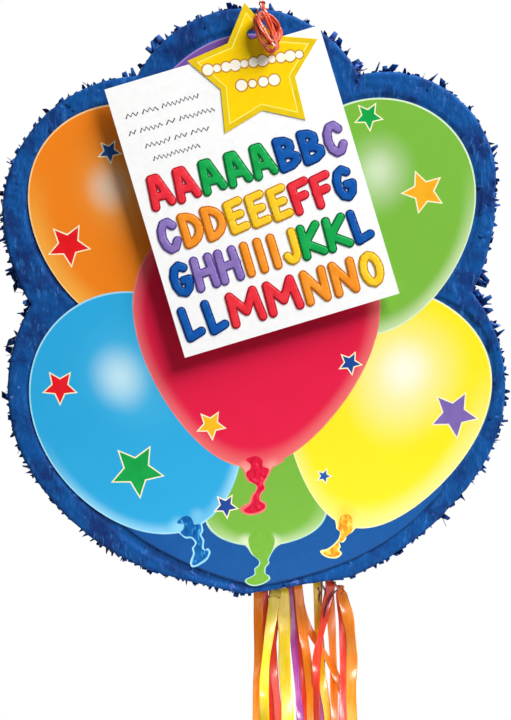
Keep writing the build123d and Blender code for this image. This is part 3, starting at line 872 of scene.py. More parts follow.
# ---- the printed picture ----
EGGS = {
    "red": Egg((-7.2, -301.4), 108.8, 118.8, 0.285, -2.8),
    "orange": Egg((-126.5, -191.6), 83.7, 102.7, 0.163, 8.5),
    "green": Egg((104.0, -191.7), 85.9, 108.4, 0.16, -8.7),
    "light_blue": Egg((-112.0, -371.5), 92.2, 114.8, 0.095, 27.1),
    "yellow": Egg((107.2, -366.4), 91.6, 111.3, 0.261, -15.0),
    "low_green": Egg((1.4, -443.7), 52.3, 47.6, -0.413, 4.6),
    "purple": Egg((-17.2, -128.5), 96.3, 104.0, -0.057, -13.9),
}
FILLS = {
    "red": balloon_ink(
        "balloon_red", EGGS["red"], (231, 31, 72), (226, 29, 66), [],
        [
            (270, 100, 0.17, (240, 112, 112), 0.95), (180, 70, 0.12, (238, 110, 116), 0.8),
            (0, 80, 0.14, (238, 112, 114), 0.85),
        ],
        [(-16, -422, 11, (250, 170, 160), 0.8), (9, -420, 11, (250, 170, 160), 0.8)],
    ),
    "orange": balloon_ink(
        "balloon_orange", EGGS["orange"], (243, 132, 28), (238, 131, 32),
        [((0.0, 0.28), 0.6, (246, 180, 90), 0.6), ((-0.12, 0.27), 0.3, (230, 210, 190), 0.75)],
        [(215, 75, 0.3, (248, 176, 72), 0.9)], [],
    ),
    "green": balloon_ink(
        "balloon_green", EGGS["green"], (123, 184, 64), (121, 185, 66),
        [((-0.05, 0.36), 0.42, (206, 222, 184), 0.8), ((-0.07, 0.4), 0.2, (228, 238, 216), 0.35)],
        [(315, 85, 0.17, (200, 222, 168), 0.95)], [],
    ),
    "light_blue": balloon_ink(
        "balloon_light_blue", EGGS["light_blue"], (47, 171, 225), (43, 167, 222),
        [((0.1, 0.3), 0.6, (84, 192, 236), 0.7), ((-0.01, 0.33), 0.34, (196, 233, 247), 0.95)],
        [(230, 65, 0.12, (150, 218, 246), 0.85), (320, 50, 0.12, (160, 222, 246), 0.85)],
        [(-77, -473, 12, (160, 226, 250), 0.6), (-60, -463, 10, (150, 216, 246), 0.45)],
    ),
    "yellow": balloon_ink(
        "balloon_yellow", EGGS["yellow"], (251, 234, 36), (250, 232, 44),
        [((0.11, 0.3), 0.66, (253, 244, 190), 0.95), ((0.12, 0.36), 0.3, (255, 251, 232), 0.85)],
        [(320, 80, 0.26, (246, 242, 150), 0.9), (235, 60, 0.2, (250, 240, 130), 0.8)],
        [(75, -471, 9, (242, 122, 38), 1.0), (75, -462, 14, (255, 208, 20), 0.6)],
    ),
    "low_green": balloon_ink(
        "balloon_low_green", EGGS["low_green"], (123, 184, 64), (121, 185, 66), [],
        [(270, 85, 0.24, (196, 222, 160), 0.9)],
        [(-15, -488, 11, (226, 238, 200), 0.9), (9, -488, 11, (226, 238, 200), 0.9)],
    ),
    "purple": balloon_ink("balloon_purple", EGGS["purple"], (126, 88, 168), (118, 80, 160), [], [], []),
}  # fmt: skip
RIMS = {
    "red": ink("rim_red", (238, 112, 110), (242, 140, 120)),
    "orange": ink("rim_orange", (252, 208, 150), (250, 196, 130)),
    "green": ink("rim_green", (214, 236, 190), (222, 240, 210)),
    "light_blue": ink("rim_light_blue", (170, 226, 250), (150, 216, 246)),
    "yellow": ink("rim_yellow", (250, 246, 170), (248, 250, 200)),
    "low_green": ink("rim_low_green", (196, 232, 196), (170, 220, 200)),
    "purple": ink("rim_purple", (170, 146, 205), (160, 130, 195)),
}
KNOTS = {
    "red": knot_ink("knot_red", (229, 22, 64), (206, 16, 54), (244, 62, 96)),
    "light_blue": knot_ink("knot_blue", (8, 104, 176), (6, 84, 156), (70, 176, 236)),
    "yellow": knot_ink("knot_yellow", (250, 186, 40), (236, 134, 34), (255, 226, 90)),
    "low_green": knot_ink("knot_green", (123, 185, 62), (119, 182, 58), (127, 188, 68)),
}
NECKS = {
    "red": [
        (-29, -411), (-20.2, -419.7), (-16.7, -425.8), (-13.7, -432.8), (-8.5, -434.5), (-6.3, -437.2),
        (-7.2, -441.4), (-10.6, -445), (-12.4, -451.1), (-18.9, -455), (-20.7, -458), (-18.9, -461.1),
        (-12.8, -463.3), (-5, -462.4), (1.1, -459.7), (3.3, -455.5), (2.8, -451.9), (-1.1, -450.2),
        (-1.9, -445), (1.1, -441.4), (2.8, -438.9), (1.5, -434.5), (5, -428.4), (8.9, -420.6), (18, -412),
    ],
    "low_green": [
        (-31, -480), (-23.3, -486.5), (-15, -492), (-10.2, -499), (-4.1, -504.2), (-4.1, -508.6),
        (-8, -512.1), (-8, -517.2), (-15.8, -521.6), (-15.8, -524.7), (-11.5, -527.3), (-5.8, -527.7),
        (1.1, -525.5), (6.4, -521.6), (5.5, -518.2), (2.5, -516.4), (2.8, -510.8), (5.9, -506.9),
        (5.5, -503.3), (10.7, -493.8), (17.7, -488.5), (24, -482),
    ],
    "light_blue": [
        (-84, -472), (-79.4, -477.4), (-75.7, -480.2), (-70.6, -484.4), (-65.1, -484.4), (-61.8, -489),
        (-64.6, -493.2), (-63.6, -497.9), (-65.5, -503), (-66.4, -506.7), (-65.1, -510.3), (-61.3, -510.3),
        (-56.7, -508.1), (-51.1, -504.3), (-48.3, -499.2), (-47.9, -496), (-50.1, -493.2), (-53, -494.6),
        (-53.9, -490.4), (-53.4, -485.8), (-56, -481.1), (-54.3, -477.4), (-55.3, -471.8), (-57, -464),
    ],
    "yellow": [
        (60, -454), (64.6, -465.4), (66.2, -470.7), (66.9, -475.6), (70, -478.6), (69.2, -483.5),
        (66.9, -486.9), (62.8, -491), (57.9, -494), (52.6, -495.2), (52.4, -497.5), (55.2, -500.1),
        (59.8, -502.1), (66.2, -502.6), (70.3, -500.5), (71.8, -497.5), (69.5, -494.9), (70.7, -491.8),
        (69.5, -488), (73, -488), (75.6, -485), (76.3, -482), (80.9, -479), (85, -474.5), (92, -468),
    ],
}  # fmt: skip
# The darker rubber gathered inside each neck, and where it starts in the balloon.
GATHERS = {
    "yellow": [
        (70, -466.5), (72, -463.5), (77, -462.5), (81, -466), (80.5, -472), (81.5, -476), (79, -480),
        (75, -483.5), (72.5, -486.6), (69, -488.5), (69, -492), (67.6, -495), (70, -497.5), (68.6, -500),
        (64, -501.2), (59, -500.6), (55, -498.6), (56, -496.4), (63, -492.5), (67.5, -488.5), (70, -484.5),
        (70.6, -479), (68.4, -476), (69.5, -471),
    ],
    "low_green": [
        (-13, -484), (-12.5, -491), (-8.8, -499.4), (-2.9, -504.6), (-2.9, -508.9), (-6.8, -512.6),
        (-6.9, -517.6), (-14.4, -521.9), (-14.4, -524.3), (-11, -526.1), (-5.8, -526.5), (0.9, -524.4),
        (5.2, -521), (4.4, -518.6), (1.4, -516.2), (1.6, -510.4), (4.7, -506.5), (4.4, -503),
        (9.2, -493.4), (10.5, -485), (6, -478), (-2, -475), (-9, -478),
    ],
    "red": [
        (-15.8, -412.8), (-11.9, -410.6), (-6.7, -409.6), (-2.4, -411), (-0.2, -413.5), (-0.2, -418.8),
        (5.5, -421.4), (3.4, -428), (0, -433.6), (1.2, -439), (-2.4, -443), (-3.4, -449.6), (1.4, -453.4),
        (1.2, -457.4), (-6, -460.8), (-13, -461.6), (-17.6, -458.6), (-11.4, -453.6), (-8.6, -445.8),
        (-5.4, -440.6), (-5.2, -436.6), (-12.6, -431.4), (-15.4, -425.2), (-11.6, -421), (-11.4, -417),
    ],
    "light_blue": [
        (-78.1, -470.5), (-75.7, -466.7), (-70.6, -463.9), (-66.4, -464.8), (-63.6, -469), (-62.7, -471.8),
        (-57.4, -471.6), (-56.2, -476.6), (-57.4, -481.6), (-55.2, -487), (-55.6, -494), (-50.4, -495.6),
        (-50.2, -499.6), (-53, -503), (-61, -508.4), (-64.4, -507.2), (-62, -498.6), (-62.8, -493),
        (-60.2, -488.4), (-64.6, -483), (-70.8, -482.6), (-75, -479.2), (-72.2, -475.4), (-72.2, -471.6),
    ],
}  # fmt: skip
PANEL_BLUE = ink("panel_blue", (16, 88, 160), (14, 84, 156))
PANEL_EDGE = ink("panel_edge", (22, 72, 132), (20, 66, 124))
PANEL = [
    (-150, -430), (-142, -455), (-120, -478), (-86, -499), (-44, -517), (-5, -526.5), (34, -519.5),
    (80, -504), (118, -483), (150, -455), (160, -430), (60, -400), (-60, -400),
]  # fmt: skip
STARS = [
    # balloon's place in the stack, centre, outer radius, tilt, colour
    ("orange", (-176.8, -217.4), 21.1, -28.4, (237, 30, 38)),
    ("orange", (-139.8, -132.5), 12.0, -28.1, (34, 84, 160)),
    ("green", (96.0, -100.4), 14.5, -29.5, (20, 166, 76)),
    ("green", (146.1, -169.0), 21.0, -49.8, (251, 178, 38)),
    ("light_blue", (-184.7, -346.7), 17.3, -36, (237, 30, 42)),
    ("light_blue", (-114.8, -422.7), 26.0, -29.1, (22, 168, 78)),
    ("red", (-47.3, -381.3), 14.6, -30, (253, 190, 30)),
    ("red", (79.2, -324.9), 12.0, -26, (30, 78, 158)),
    ("yellow", (173.8, -371.5), 23.3, -28.6, (130, 108, 180)),
    ("yellow", (55.5, -427.7), 8.2, -20, (36, 96, 170)),
    ("light_blue", (-33.7, -455.0), 12.4, -30, (32, 74, 156)),
]
# Where the low green balloon reaches up behind its neighbours.
CROWN = [(-10, -400), (34, -397), (42, -412), (32, -428), (-10, -428)]
STACK = ["low_green", "purple", "orange", "yellow", "light_blue", "green", "red"]
RIM_WIDTH = 1.4
STAR_LINE = 1.9
STAR_WAIST = 0.48


def picture():
    star_line = ink("star_line", (250, 240, 196), (252, 246, 214))
    layers = [(rounded(PANEL), PANEL_EDGE), (inset(rounded(PANEL), 1.2), PANEL_BLUE)]
    inks = {}
    for balloon in STACK:
        egg = EGGS[balloon]
        neck = rounded(NECKS[balloon]) if balloon in NECKS else None
        layers.append((egg.outline(), RIMS[balloon]))
        if neck is not None:
            layers.append((neck, RIMS[balloon]))
        layers.append((egg.outline(RIM_WIDTH), FILLS[balloon]))
        if balloon == "low_green":
            layers.append((np.array(CROWN, float), FILLS[balloon]))
        if neck is not None:
            paint = KNOTS[balloon] if balloon not in GATHERS else FILLS[balloon]
            layers.append((inset(neck, RIM_WIDTH * 0.8), paint))
        if balloon in GATHERS:
            layers.append((rounded(GATHERS[balloon]), KNOTS[balloon]))
        for where, centre, outer, tilt, colour in STARS:
            if where != balloon:
                continue
            if colour not in inks:
                inks[colour] = ink("star_ink_%02x%02x%02x" % colour, colour)
            inner = outer * STAR_WAIST
            fill = 1 - STAR_LINE / outer * 1.35
            layers.append((star(centre, outer, inner, tilt), star_line))
            layers.append((star(centre, outer * fill, inner * fill * 0.98, tilt), inks[colour]))
    piece = flat_art("balloon_picture", layers, PICTURE_FRONT, PICTURE_BACK, "shell")
    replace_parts(piece, "picture_panel")


picture()

# ---- the hang tag ----
STAR_BORDER = 4.6
STAR_GLEAM = 1.1
HOLE_LIP = 0.9
STAR_TILT = 9.6
SHEET_TILT = 16.7
STAR_ROWS = [((-8.6, -52.0), 84.0, 11), ((-4.6, -70.6), 30.0, 4)]  # middle, length and number of beads
SHEET_ROWS = [
    # middle, and the lengths of its words
    ((-91.5, -92.0), (12, 15, 35)),
    ((-83.0, -105.8), (7, 21, 9, 33)),
    ((-78.0, -120.0), (24, 12, 17)),
    ((-78.5, -133.7), (44,)),
]
WORD_GAP = 3.6


def star_card():
    loops = front_loops("star_header")
    outline = max(loops, key=lambda loop: abs(area_of(loop)))
    hole = min(loops, key=lambda loop: abs(area_of(loop)))
    border = ink("star_border", (236, 202, 24), (228, 192, 20), 0.25)
    gleam = ink("star_gleam", (255, 234, 96), (255, 240, 130), 0.25)
    field = ink("star_field", (255, 212, 12), (252, 206, 8), 0.25)
    trim = ink("bead_trim", (206, 150, 50), (190, 132, 40), 0.3)
    bead = ink("bead_white", (255, 252, 240), (255, 246, 222), 0.3)
    lip = ink("hole_lip", (150, 108, 18), (110, 78, 20), 0.3)
    layers = [
        (outline, border),
        (inset(outline, STAR_BORDER), gleam),
        (inset(outline, STAR_BORDER + STAR_GLEAM), field),
    ]
    c, s = math.cos(math.radians(STAR_TILT)), math.sin(math.radians(STAR_TILT))
    for (x, z), length, count in STAR_ROWS:
        places = (np.arange(count) / (count - 1) - 0.5) * length
        sizes = 4.2 + 0.9 * np.cos(2.1 * np.arange(count) + 0.6)
        for margin, paint in ((1.3, trim), (0.0, bead)):
            for place, size in zip(places, sizes):
                centre = (x + place * c, z + place * s)
                layers.append((circle(centre, size + margin, 24), paint))
    layers.append((circle(hole.mean(0), abs(area_of(hole) / math.pi) ** 0.5 + HOLE_LIP), lip))
    back = box_mm("star_header")[1][1]
    piece = flat_art("star_card", layers, STAR_FRONT, back, "tag", [hole])
    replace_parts(piece, "star_header")


def sheet_rows():
    """Short zigzag lines where the sheet's instructions would be."""
    paint = ink("dark_print", (34, 32, 36), (24, 22, 28))
    c, s = math.cos(math.radians(SHEET_TILT)), math.sin(math.radians(SHEET_TILT))
    rows = Bundle()
    for (x, z), words in SHEET_ROWS:
        left = -(sum(words) + WORD_GAP * (len(words) - 1)) / 2
        for word in words:
            count = max(4, int(word / 1.9))
            along = left + np.linspace(0, word, count)
            up = 1.7 * np.where(np.arange(count) % 2, 1, -1) * (1 + 0.35 * np.sin(2.4 * np.arange(count)))
            depth = np.full(count, SHEET_FRONT - 0.03)
            line = np.stack([x + along * c - up * s, depth, z + along * s + up * c], 1)
            rings = sweep(line, 0.6, 0.04, (c, 0, s), 6)
            rows.add(rings.reshape(-1, 3), loft(rings))
            left += word + WORD_GAP
    piece = rows.piece("sheet_rows", [paint], "tag", smooth=False)


star_card()
sheet_rows()

# ---- puffy letters on their darker borders ----
BORDER = 0.7  # how far the puffed face lies inside the CAD letter's outline
OUTSET = 0.5  # how far the darker base lies outside it
PUFF = 0.35  # the face's crown
CROWN_WIDTH = 0.9  # the stretch over which it rises
LETTER_SPACING = 0.9  # between points along an outline
LETTER_INKS = {
    # face, glint, border
    "red": ((236, 46, 60), (242, 66, 76), (170, 24, 42)),
    "green": ((16, 164, 76), (40, 180, 92), (8, 104, 50)),
    "blue": ((14, 84, 168), (30, 102, 182), (6, 46, 112)),
    "purple": ((136, 112, 184), (152, 132, 196), (88, 66, 140)),
    "orange": ((248, 146, 36), (252, 164, 62), (190, 104, 24)),
    "yellow": ((253, 204, 38), (254, 214, 70), (192, 136, 26)),
}


def away_from(points, loops):
    """Each point's distance from the nearest of the outlines."""
    best = np.full(len(points), 1e9)
    for loop in loops:
        a, b = loop, np.roll(loop, -1, axis=0)
        run = b - a
        share = ((points[:, None] - a) * run).sum(2) / np.maximum((run**2).sum(1), 1e-9)
        near = a + np.clip(share, 0, 1)[..., None] * run
        best = np.minimum(best, np.linalg.norm(points[:, None] - near, axis=2).min(1))
    return best


def letter_loops(node):
    """Each outline of the colour's CAD letters, evenly spaced, and whether it is a hole in its letter."""
    loops = [loop for loop in front_loops(node) if abs(area_of(loop)) > 1.0]
    for loop in loops:
        around = sum(inside(loop[:1], other)[0] for other in loops if other is not loop)
        yield loop, evenly(loop, LETTER_SPACING), around % 2 == 1


def puffy_letters(colour):
    face, glint, border = LETTER_INKS[colour]
    node = f"letter_stickers_{colour}"
    border_ink = ink(f"sticker_border_{colour}", border, None, 0.3)
    loops, lines, rims, layers, holes = [], [], [], [], []
    for loop, even, hole in letter_loops(node):
        loops.append(loop)
        for depth in (0, 0.35, CROWN_WIDTH):
            line = inset(even, -BORDER - depth if hole else BORDER + depth)
            unsteady = [np.sin(1.9 * line[:, 1] + line[:, 0]), np.cos(2.1 * line[:, 0])]
            lines.append(line + 0.3 * np.stack(unsteady, 1))
        rims.append(lines[-3])
        if hole:
            holes.append(inset(even, OUTSET))
        else:
            layers.append((inset(even, -OUTSET), border_ink))
    flat, triangles, middles = cut_plane(lines)
    kept = sum(inside(middles, rim).astype(int) for rim in rims) % 2 == 1
    flat, triangles = only_used(flat, triangles[kept & (away_from(middles, loops) > BORDER * 0.9)])
    depth = np.clip((away_from(flat, loops) - BORDER) / CROWN_WIDTH, 0, 1)
    lift = PUFF * np.sqrt(1 - (1 - depth) ** 2)
    solid = np.vstack([
        np.insert(flat, 1, STICKER_FRONT - 0.05 - lift, axis=1),
        np.insert(flat, 1, STICKER_FRONT + 0.1, axis=1),
    ])
    faces, _ = slab_faces(facing(flat, triangles, 1), len(flat))
    paint = vinyl(f"vinyl_{colour}", face, glint)
    piece = mesh_piece(f"puffy_letters_{colour}", solid, faces, [paint], "tag")
    base = flat_art(f"letter_base_{colour}", layers, STICKER_FRONT - 0.02, SHEET_FRONT, "tag", holes)
    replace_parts(base, node)


for colour in LETTER_INKS:
    puffy_letters(colour)


# ---- crepe tissue and its fringe ----
TISSUE = tissue("tissue_blue", (6, 79, 150), (46, 108, 180), (12, 47, 110))
# a darker copy of the crepe: painted shade on the blades that are given it
TISSUE_PAINTED_SHADE = tissue("tissue_painted_shade", (18, 56, 116), (46, 84, 150), (22, 28, 66))
# a paler copy of the crepe: painted light on the blades and tabs that are given it
TISSUE_PAINTED_LIGHT = tissue("tissue_painted_light", (62, 96, 172), (112, 124, 196), (30, 80, 152))
TISSUES = [TISSUE, TISSUE_PAINTED_SHADE, TISSUE_PAINTED_LIGHT]
ROWS = 4
BOX_FRONT = TISSUE_FRONT + 1.2  # the front board's outer face
ROW_DEPTH = (CARD_BACK - BOX_FRONT) / ROWS
GLUE = 0.05  # between a glued sheet and the card
PAPER = 0.16  # thickness of a fringe blade, which is two or three tissues
BLADE_STEPS = 6
RAGGED = 1.6  # how unevenly a blade's tip is cut
DOOR_REACH = 36.5  # half the depth of the bare card round the trap door
DOOR_ENDS = (np.array([-17.0, -536.0]), np.array([81.0, -520.0]))
DOOR_LENGTH = 86.0
DOOR_TANGENT = (DOOR_ENDS[1] - DOOR_ENDS[0]) / np.linalg.norm(DOOR_ENDS[1] - DOOR_ENDS[0])
DOOR_DOWN = np.array([DOOR_TANGENT[1], -DOOR_TANGENT[0]])
DOOR_MIDDLE = (DOOR_ENDS[0] + DOOR_ENDS[1]) / 2
DOOR_FACE = DOOR_MIDDLE - DOOR_DOWN * 5.0  # the door's outer face
BESIDE_DOOR = 20.0  # the blades this near to the door's ends hang straight, clear of its swing
LOOP_LEGS = (-6.0, 14.0)  # X of the hanging loop's two legs
TOP = -40.0  # the loop's part of the top edge lies above this
NOTCHES = [(79, -54), (-107, -58), (-217, -267), (204, -263)]  # where the outline's lobes meet
NOTCH_REACH = 34.0
LOW_EDGE = -400.0  # the fringe is less ragged below this
FRINGE_STEP = 3  # one blade for so many points of the outline
FRINGE_INSET = 2.3
RUFFLED_SHARE = 0.25
WILD_SHARE = 0.07
WILD_AT_NOTCH = 0.26
WILD_LOW = 0.03
THREAD_SHARE = 0.2  # of the wild blades, torn down to a thread
THREAD_WIDTH = 1.2


def crumple(points, size, seed):
    """Noise from 0 to 1 whose features are about that many millimetres."""
    points = np.asarray(points, float).reshape(-1, 3) / size + seed * 17.3
    return np.array([noise.noise(Vector(p)) for p in points]) * 0.5 + 0.5


def blades(bundle, roots, along, out, width, length, lift, bend, twist, lean, kinds, sharp=2.0, taper=0.25):
    """Fringe blades: each leaves its root along one direction, lifts away from the card and curls.

    lift, bend and twist are in radians, lean is a share of the length, sharp is how late the bend comes and
    taper is the share of the width lost at the tip.
    """
    count = len(roots)
    steps = np.arange(BLADE_STEPS) / (BLADE_STEPS - 1)
    along, out = np.broadcast_to(along, (count, 3)), np.broadcast_to(out, (count, 3))
    sharp, taper = np.broadcast_to(sharp, count), np.broadcast_to(taper, count)
    lift = np.broadcast_to(lift, count)
    angle = lift[:, None] + bend[:, None] * steps ** sharp[:, None]
    across = np.cross(along, out)
    stride = (length / (BLADE_STEPS - 1))[:, None]
    ahead = np.cumsum(np.cos(angle) * stride, axis=1) - np.cos(angle[:, :1]) * stride
    rise = np.cumsum(np.sin(angle) * stride, axis=1) - np.sin(angle[:, :1]) * stride
    sway = (lean[:, None] * steps**1.5) * length[:, None]
    middle = (
        roots[:, None]
        + along[:, None] * ahead[..., None]
        + out[:, None] * rise[..., None]
        + across[:, None] * sway[..., None]
    )
    normal = out[:, None] * np.cos(angle)[..., None] - along[:, None] * np.sin(angle)[..., None]
    turn = (twist[:, None] * steps)[..., None]
    side = across[:, None] * np.cos(turn) + normal * np.sin(turn)
    normal = normal * np.cos(turn) - across[:, None] * np.sin(turn)
    narrowing = 1 - taper[:, None] * steps**2.5
    half = side * (width[:, None] / 2 * narrowing)[..., None]
    thick = normal * PAPER / 2
    under, over = middle - thick, middle + thick
    corners = np.stack([under - half, under + half, over + half, over - half], 2)
    ragged = (RANDOM.random(count) - 0.5)[:, None] * RAGGED
    corners[:, -1, [0, 3]] += along[:, None] * ragged[..., None]
    corners[:, -1, [1, 2]] -= along[:, None] * ragged[..., None]
    faces = loft(corners[0])
    for index in range(count):
        bundle.add(corners[index].reshape(-1, 3), faces, int(kinds[index]))


def at_door(points, spare=1.5):
    """Which points lie on the door's straight stretch, or within that much of its ends."""
    away = points - DOOR_MIDDLE
    near = np.abs(away @ DOOR_DOWN) < 6
    return near & (np.abs(away @ DOOR_TANGENT) < DOOR_LENGTH / 2 + spare)


def tissue_kinds(count, dark=0.16, pale=0.14):
    """Which of TISSUES each blade gets: the plain crepe, its darker copy as painted shade (share dark) or
    its paler copy as painted light (share pale).
    """
    return RANDOM.choice(3, count, p=[1 - dark - pale, dark, pale])


TAB_SHARE = 0.16  # of the points round the outline
BAND_COLUMNS = 900
BAND_ROWS = 18
UNDER_PICTURE = 9.0  # how far the crepe reaches in behind the picture
TURNED_EDGE = [(0.4, 0.6), (0.8, 1.9), (0.9, 4.0), (0.3, 7.0)]  # how far out, as a share, and how far back


def front_band():
    """The crepe glued on the front board, crumpled round the picture and turned over the box's edge."""
    count, rows = BAND_COLUMNS, BAND_ROWS
    angles = np.linspace(-math.pi, math.pi, count, endpoint=False)
    outer, inner = BODY_REACH(angles), PICTURE_REACH(angles)
    start = np.minimum(inner, outer - 3) - UNDER_PICTURE
    direction = np.stack([np.cos(angles), np.sin(angles)], 1)
    shares = np.linspace(0, 1, rows)
    radii = start[:, None] + (outer - start)[:, None] * shares
    flat = WALL_CENTRE + direction[:, None] * radii[..., None]
    solid = np.insert(flat, 1, TISSUE_FRONT + 0.2, axis=2)
    # free of the picture, the crepe puffs up in folds of three sizes
    free = smooth_step(radii - inner[:, None], 0.5, 6) * (1 - smooth_step(shares, 0.97, 1.0)[None] * 0.5)
    big = crumple(solid, 13, 1).reshape(count, rows)
    small = crumple(solid, 4.5, 2).reshape(count, rows)
    ridge = 1 - np.abs(crumple(solid, 8, 3).reshape(count, rows) * 2 - 1) * 2.2
    puff = 0.3 + 0.9 * np.clip(big, 0.2, 0.9) + 0.45 * small + 0.4 * np.clip(ridge, 0, 1)
    solid[..., 1] -= free * puff
    wobble = crumple(solid[:, -1], 9, 4) * 1.6 - 0.6
    edge = []
    for share, back in TURNED_EDGE:
        ring = WALL_CENTRE + direction * (outer + share * wobble + share * 0.4)[:, None]
        edge.append(np.insert(ring, 1, solid[:, -1, 1] + back, axis=1))
    solid = np.concatenate([solid, np.stack(edge, 1)], axis=1)
    under = solid.copy()
    under[:, :rows, 1] += PAPER * 2
    under[:, rows:, [0, 2]] -= (direction * PAPER * 2)[:, None]
    section = np.concatenate([solid, under[:, ::-1]], axis=1)
    bundle = Bundle()
    bundle.add(section, loft(section, looped=True))
    front_tabs(bundle)
    piece = bundle.piece("front_crepe", TISSUES, "shell")
    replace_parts(piece, "front_tissue")


def front_tabs(bundle):
    """Loose ends of the side's fringe, folded over the edge and pressed on the front."""
    count = int(len(BODY_RING) * TAB_SHARE)
    pick = np.sort(RANDOM.choice(len(BODY_RING), count, replace=True))
    edge, inward = BODY_RING[pick], -BODY_OUTWARD[pick]
    offset = RANDOM.random(count) ** 1.5
    angles = np.arctan2(*(edge - WALL_CENTRE).T[::-1])
    margin = BODY_REACH(angles) - PICTURE_REACH(angles)
    offset = offset * np.clip(margin - 12, 0, 9)
    length = np.minimum(RANDOM.uniform(5, 12, count), np.maximum(margin - offset - 1.5, 3))
    roots = np.insert(edge + inward * (offset + 0.6)[:, None], 1, TISSUE_FRONT - 0.62, axis=1)
    slant = RANDOM.normal(0, 0.45, count)
    sideways = np.stack([-inward[:, 1], inward[:, 0]], 1)
    turned = inward * np.cos(slant)[:, None] + sideways * np.sin(slant)[:, None]
    along = np.insert(turned, 1, 0, axis=1)
    blades(
        bundle, roots, along, (0.0, -1.0, 0.0), RANDOM.uniform(4, 9, count), length,
        RANDOM.uniform(-0.03, 0.03, count), RANDOM.uniform(-0.12, 0.06, count),
        RANDOM.normal(0, 0.05, count), RANDOM.normal(0, 0.15, count), tissue_kinds(count, 0.0, 0.12),
    )  # fmt: skip


def clear_door(row, ring, start, length, bend):
    """Shortens the outer strips' blades beside the bare card of the trap door, and says which blades stay.

    The middle strips have none there.
    """
    door = at_door(ring)
    if row in (1, 2):
        return ~door
    if row == 0:
        start[door] = -DOOR_REACH - 0.5
        length[door] = 10.5
    else:
        length[door] = start[door] - DOOR_REACH - 1.9
    bend[door] = np.minimum(bend[door], 0.1)
    return np.ones(len(ring), bool)


def clear_loop(ring, start, length, lift, bend, twist):
    """Flattens the blades under the hanging loop's lead, and says which blades miss the loop's legs."""
    top = (np.abs(ring[:, 0]) < 5) & (ring[:, 1] > TOP)
    bend[top], lift[top], twist[top] = 0.0, 0.02, 0.0
    clear = np.ones(len(ring), bool)
    for x in LOOP_LEGS:
        at_leg = (np.abs(ring[:, 0] - x) < 4.5) & (ring[:, 1] > TOP)
        clear &= ~(at_leg & (start > -2) & (start - length < 3))
    return clear


def side_row(row):
    """One strip of fringe round the side, from its glued back edge forward."""
    back = BOX_FRONT + (row + 1) * ROW_DEPTH
    bundle = Bundle()
    skin(bundle, back - ROW_DEPTH, back)
    ring, away = BODY_RING[::FRINGE_STEP], BODY_OUTWARD[::FRINGE_STEP]
    count = len(ring)
    shift = RANDOM.uniform(-1.5, 1.5, count)
    base = ring - away * FRINGE_INSET + np.stack([-away[:, 1], away[:, 0]], 1) * shift[:, None]
    start = np.full(count, back - 0.6)
    length = ROW_DEPTH + RANDOM.uniform(-1.0, 3.0, count)
    lift = RANDOM.uniform(0.03, 0.1, count)
    bend = RANDOM.uniform(-0.1, 0.35, count)
    width = RANDOM.uniform(4.6, 7.0, count)
    kinds = tissue_kinds(count)
    taper = RANDOM.uniform(0.1, 0.6, count)
    twist = RANDOM.normal(0, 0.25, count)
    # ruffled blades curl a little, and wild ones stand out as torn tips
    ruffled = RANDOM.random(count) < RUFFLED_SHARE
    bend[ruffled] = RANDOM.uniform(0.25, 0.6, ruffled.sum())
    taper[ruffled] = RANDOM.uniform(0.5, 0.95, ruffled.sum())
    twist[ruffled] = RANDOM.normal(0, 0.9, ruffled.sum())
    lean = RANDOM.normal(0, 0.1, count)
    notch = np.linalg.norm(ring[:, None] - np.array(NOTCHES), axis=2).min(1) < NOTCH_REACH
    low = ring[:, 1] < LOW_EDGE
    wild = RANDOM.random(count) < np.where(notch, WILD_AT_NOTCH, np.where(low, WILD_LOW, WILD_SHARE))
    sharp = np.where(wild, RANDOM.uniform(2.2, 4, count), 2.0)
    bend[wild] = RANDOM.uniform(0.6, 1.7, wild.sum())
    thread = RANDOM.random(wild.sum()) < THREAD_SHARE
    width[wild] = np.where(thread, THREAD_WIDTH, RANDOM.uniform(3.5, 8.0, wild.sum()))
    length[wild] += RANDOM.uniform(-4, 3, wild.sum())
    taper[wild] = RANDOM.uniform(0.1, 0.8, wild.sum())
    twist[wild] = RANDOM.normal(0, 0.7, wild.sum())
    lean[wild] = RANDOM.normal(0, 0.3, wild.sum())
    beside_door = at_door(ring, BESIDE_DOOR)
    lean[beside_door], twist[beside_door] = 0.0, 0.0
    length[wild & notch] += 3
    width[wild & notch] += 2
    keep = clear_door(row, ring, start, length, bend)
    keep &= clear_loop(ring, start, length, lift, bend, twist)
    roots = np.insert(base, 1, start, axis=1)
    out = np.insert(away, 1, 0, axis=1)
    blades(
        bundle, roots[keep], (0.0, -1.0, 0.0), out[keep], width[keep], length[keep], lift[keep], bend[keep],
        twist[keep], lean[keep], kinds[keep], sharp[keep], taper[keep],
    )  # fmt: skip
    piece = bundle.piece(f"side_fringe_strip_{row + 1}", TISSUES, "shell")
    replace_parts(piece, f"side_fringe_row_{row + 1}")


def skin(bundle, front, back):
    """The strip's glued part: a thin crumpled band just above the card."""
    columns = 6
    count = len(BODY_RING)
    ys = np.broadcast_to(np.linspace(front, back, columns), (count, columns))
    over, under = [
        np.insert(np.repeat((BODY_RING - BODY_OUTWARD * depth)[:, None], columns, axis=1), 1, ys, axis=2)
        for depth in (3.0, 3.7)
    ]
    lift = crumple(over, 7, 5).reshape(count, columns) * 1.1 - 0.3
    over[..., [0, 2]] += BODY_OUTWARD[:, None] * lift[..., None]
    section = np.concatenate([over, under[:, ::-1]], axis=1)
    sides = 2 * columns
    reaches_door = min(abs(front), abs(back)) < DOOR_REACH or front * back < 0
    door = at_door(BODY_RING) & reaches_door
    faces = []
    for i in range(count):
        j = (i + 1) % count
        if door[i] or door[j]:
            continue
        for c in range(sides):
            d = (c + 1) % sides
            faces.append([i * sides + c, i * sides + d, j * sides + d, j * sides + c])
        if door[i - 1]:
            faces.append([i * sides + c for c in range(sides)][::-1])
        if door[(j + 1) % count]:
            faces.append([j * sides + c for c in range(sides)])
    bundle.add(section, faces)


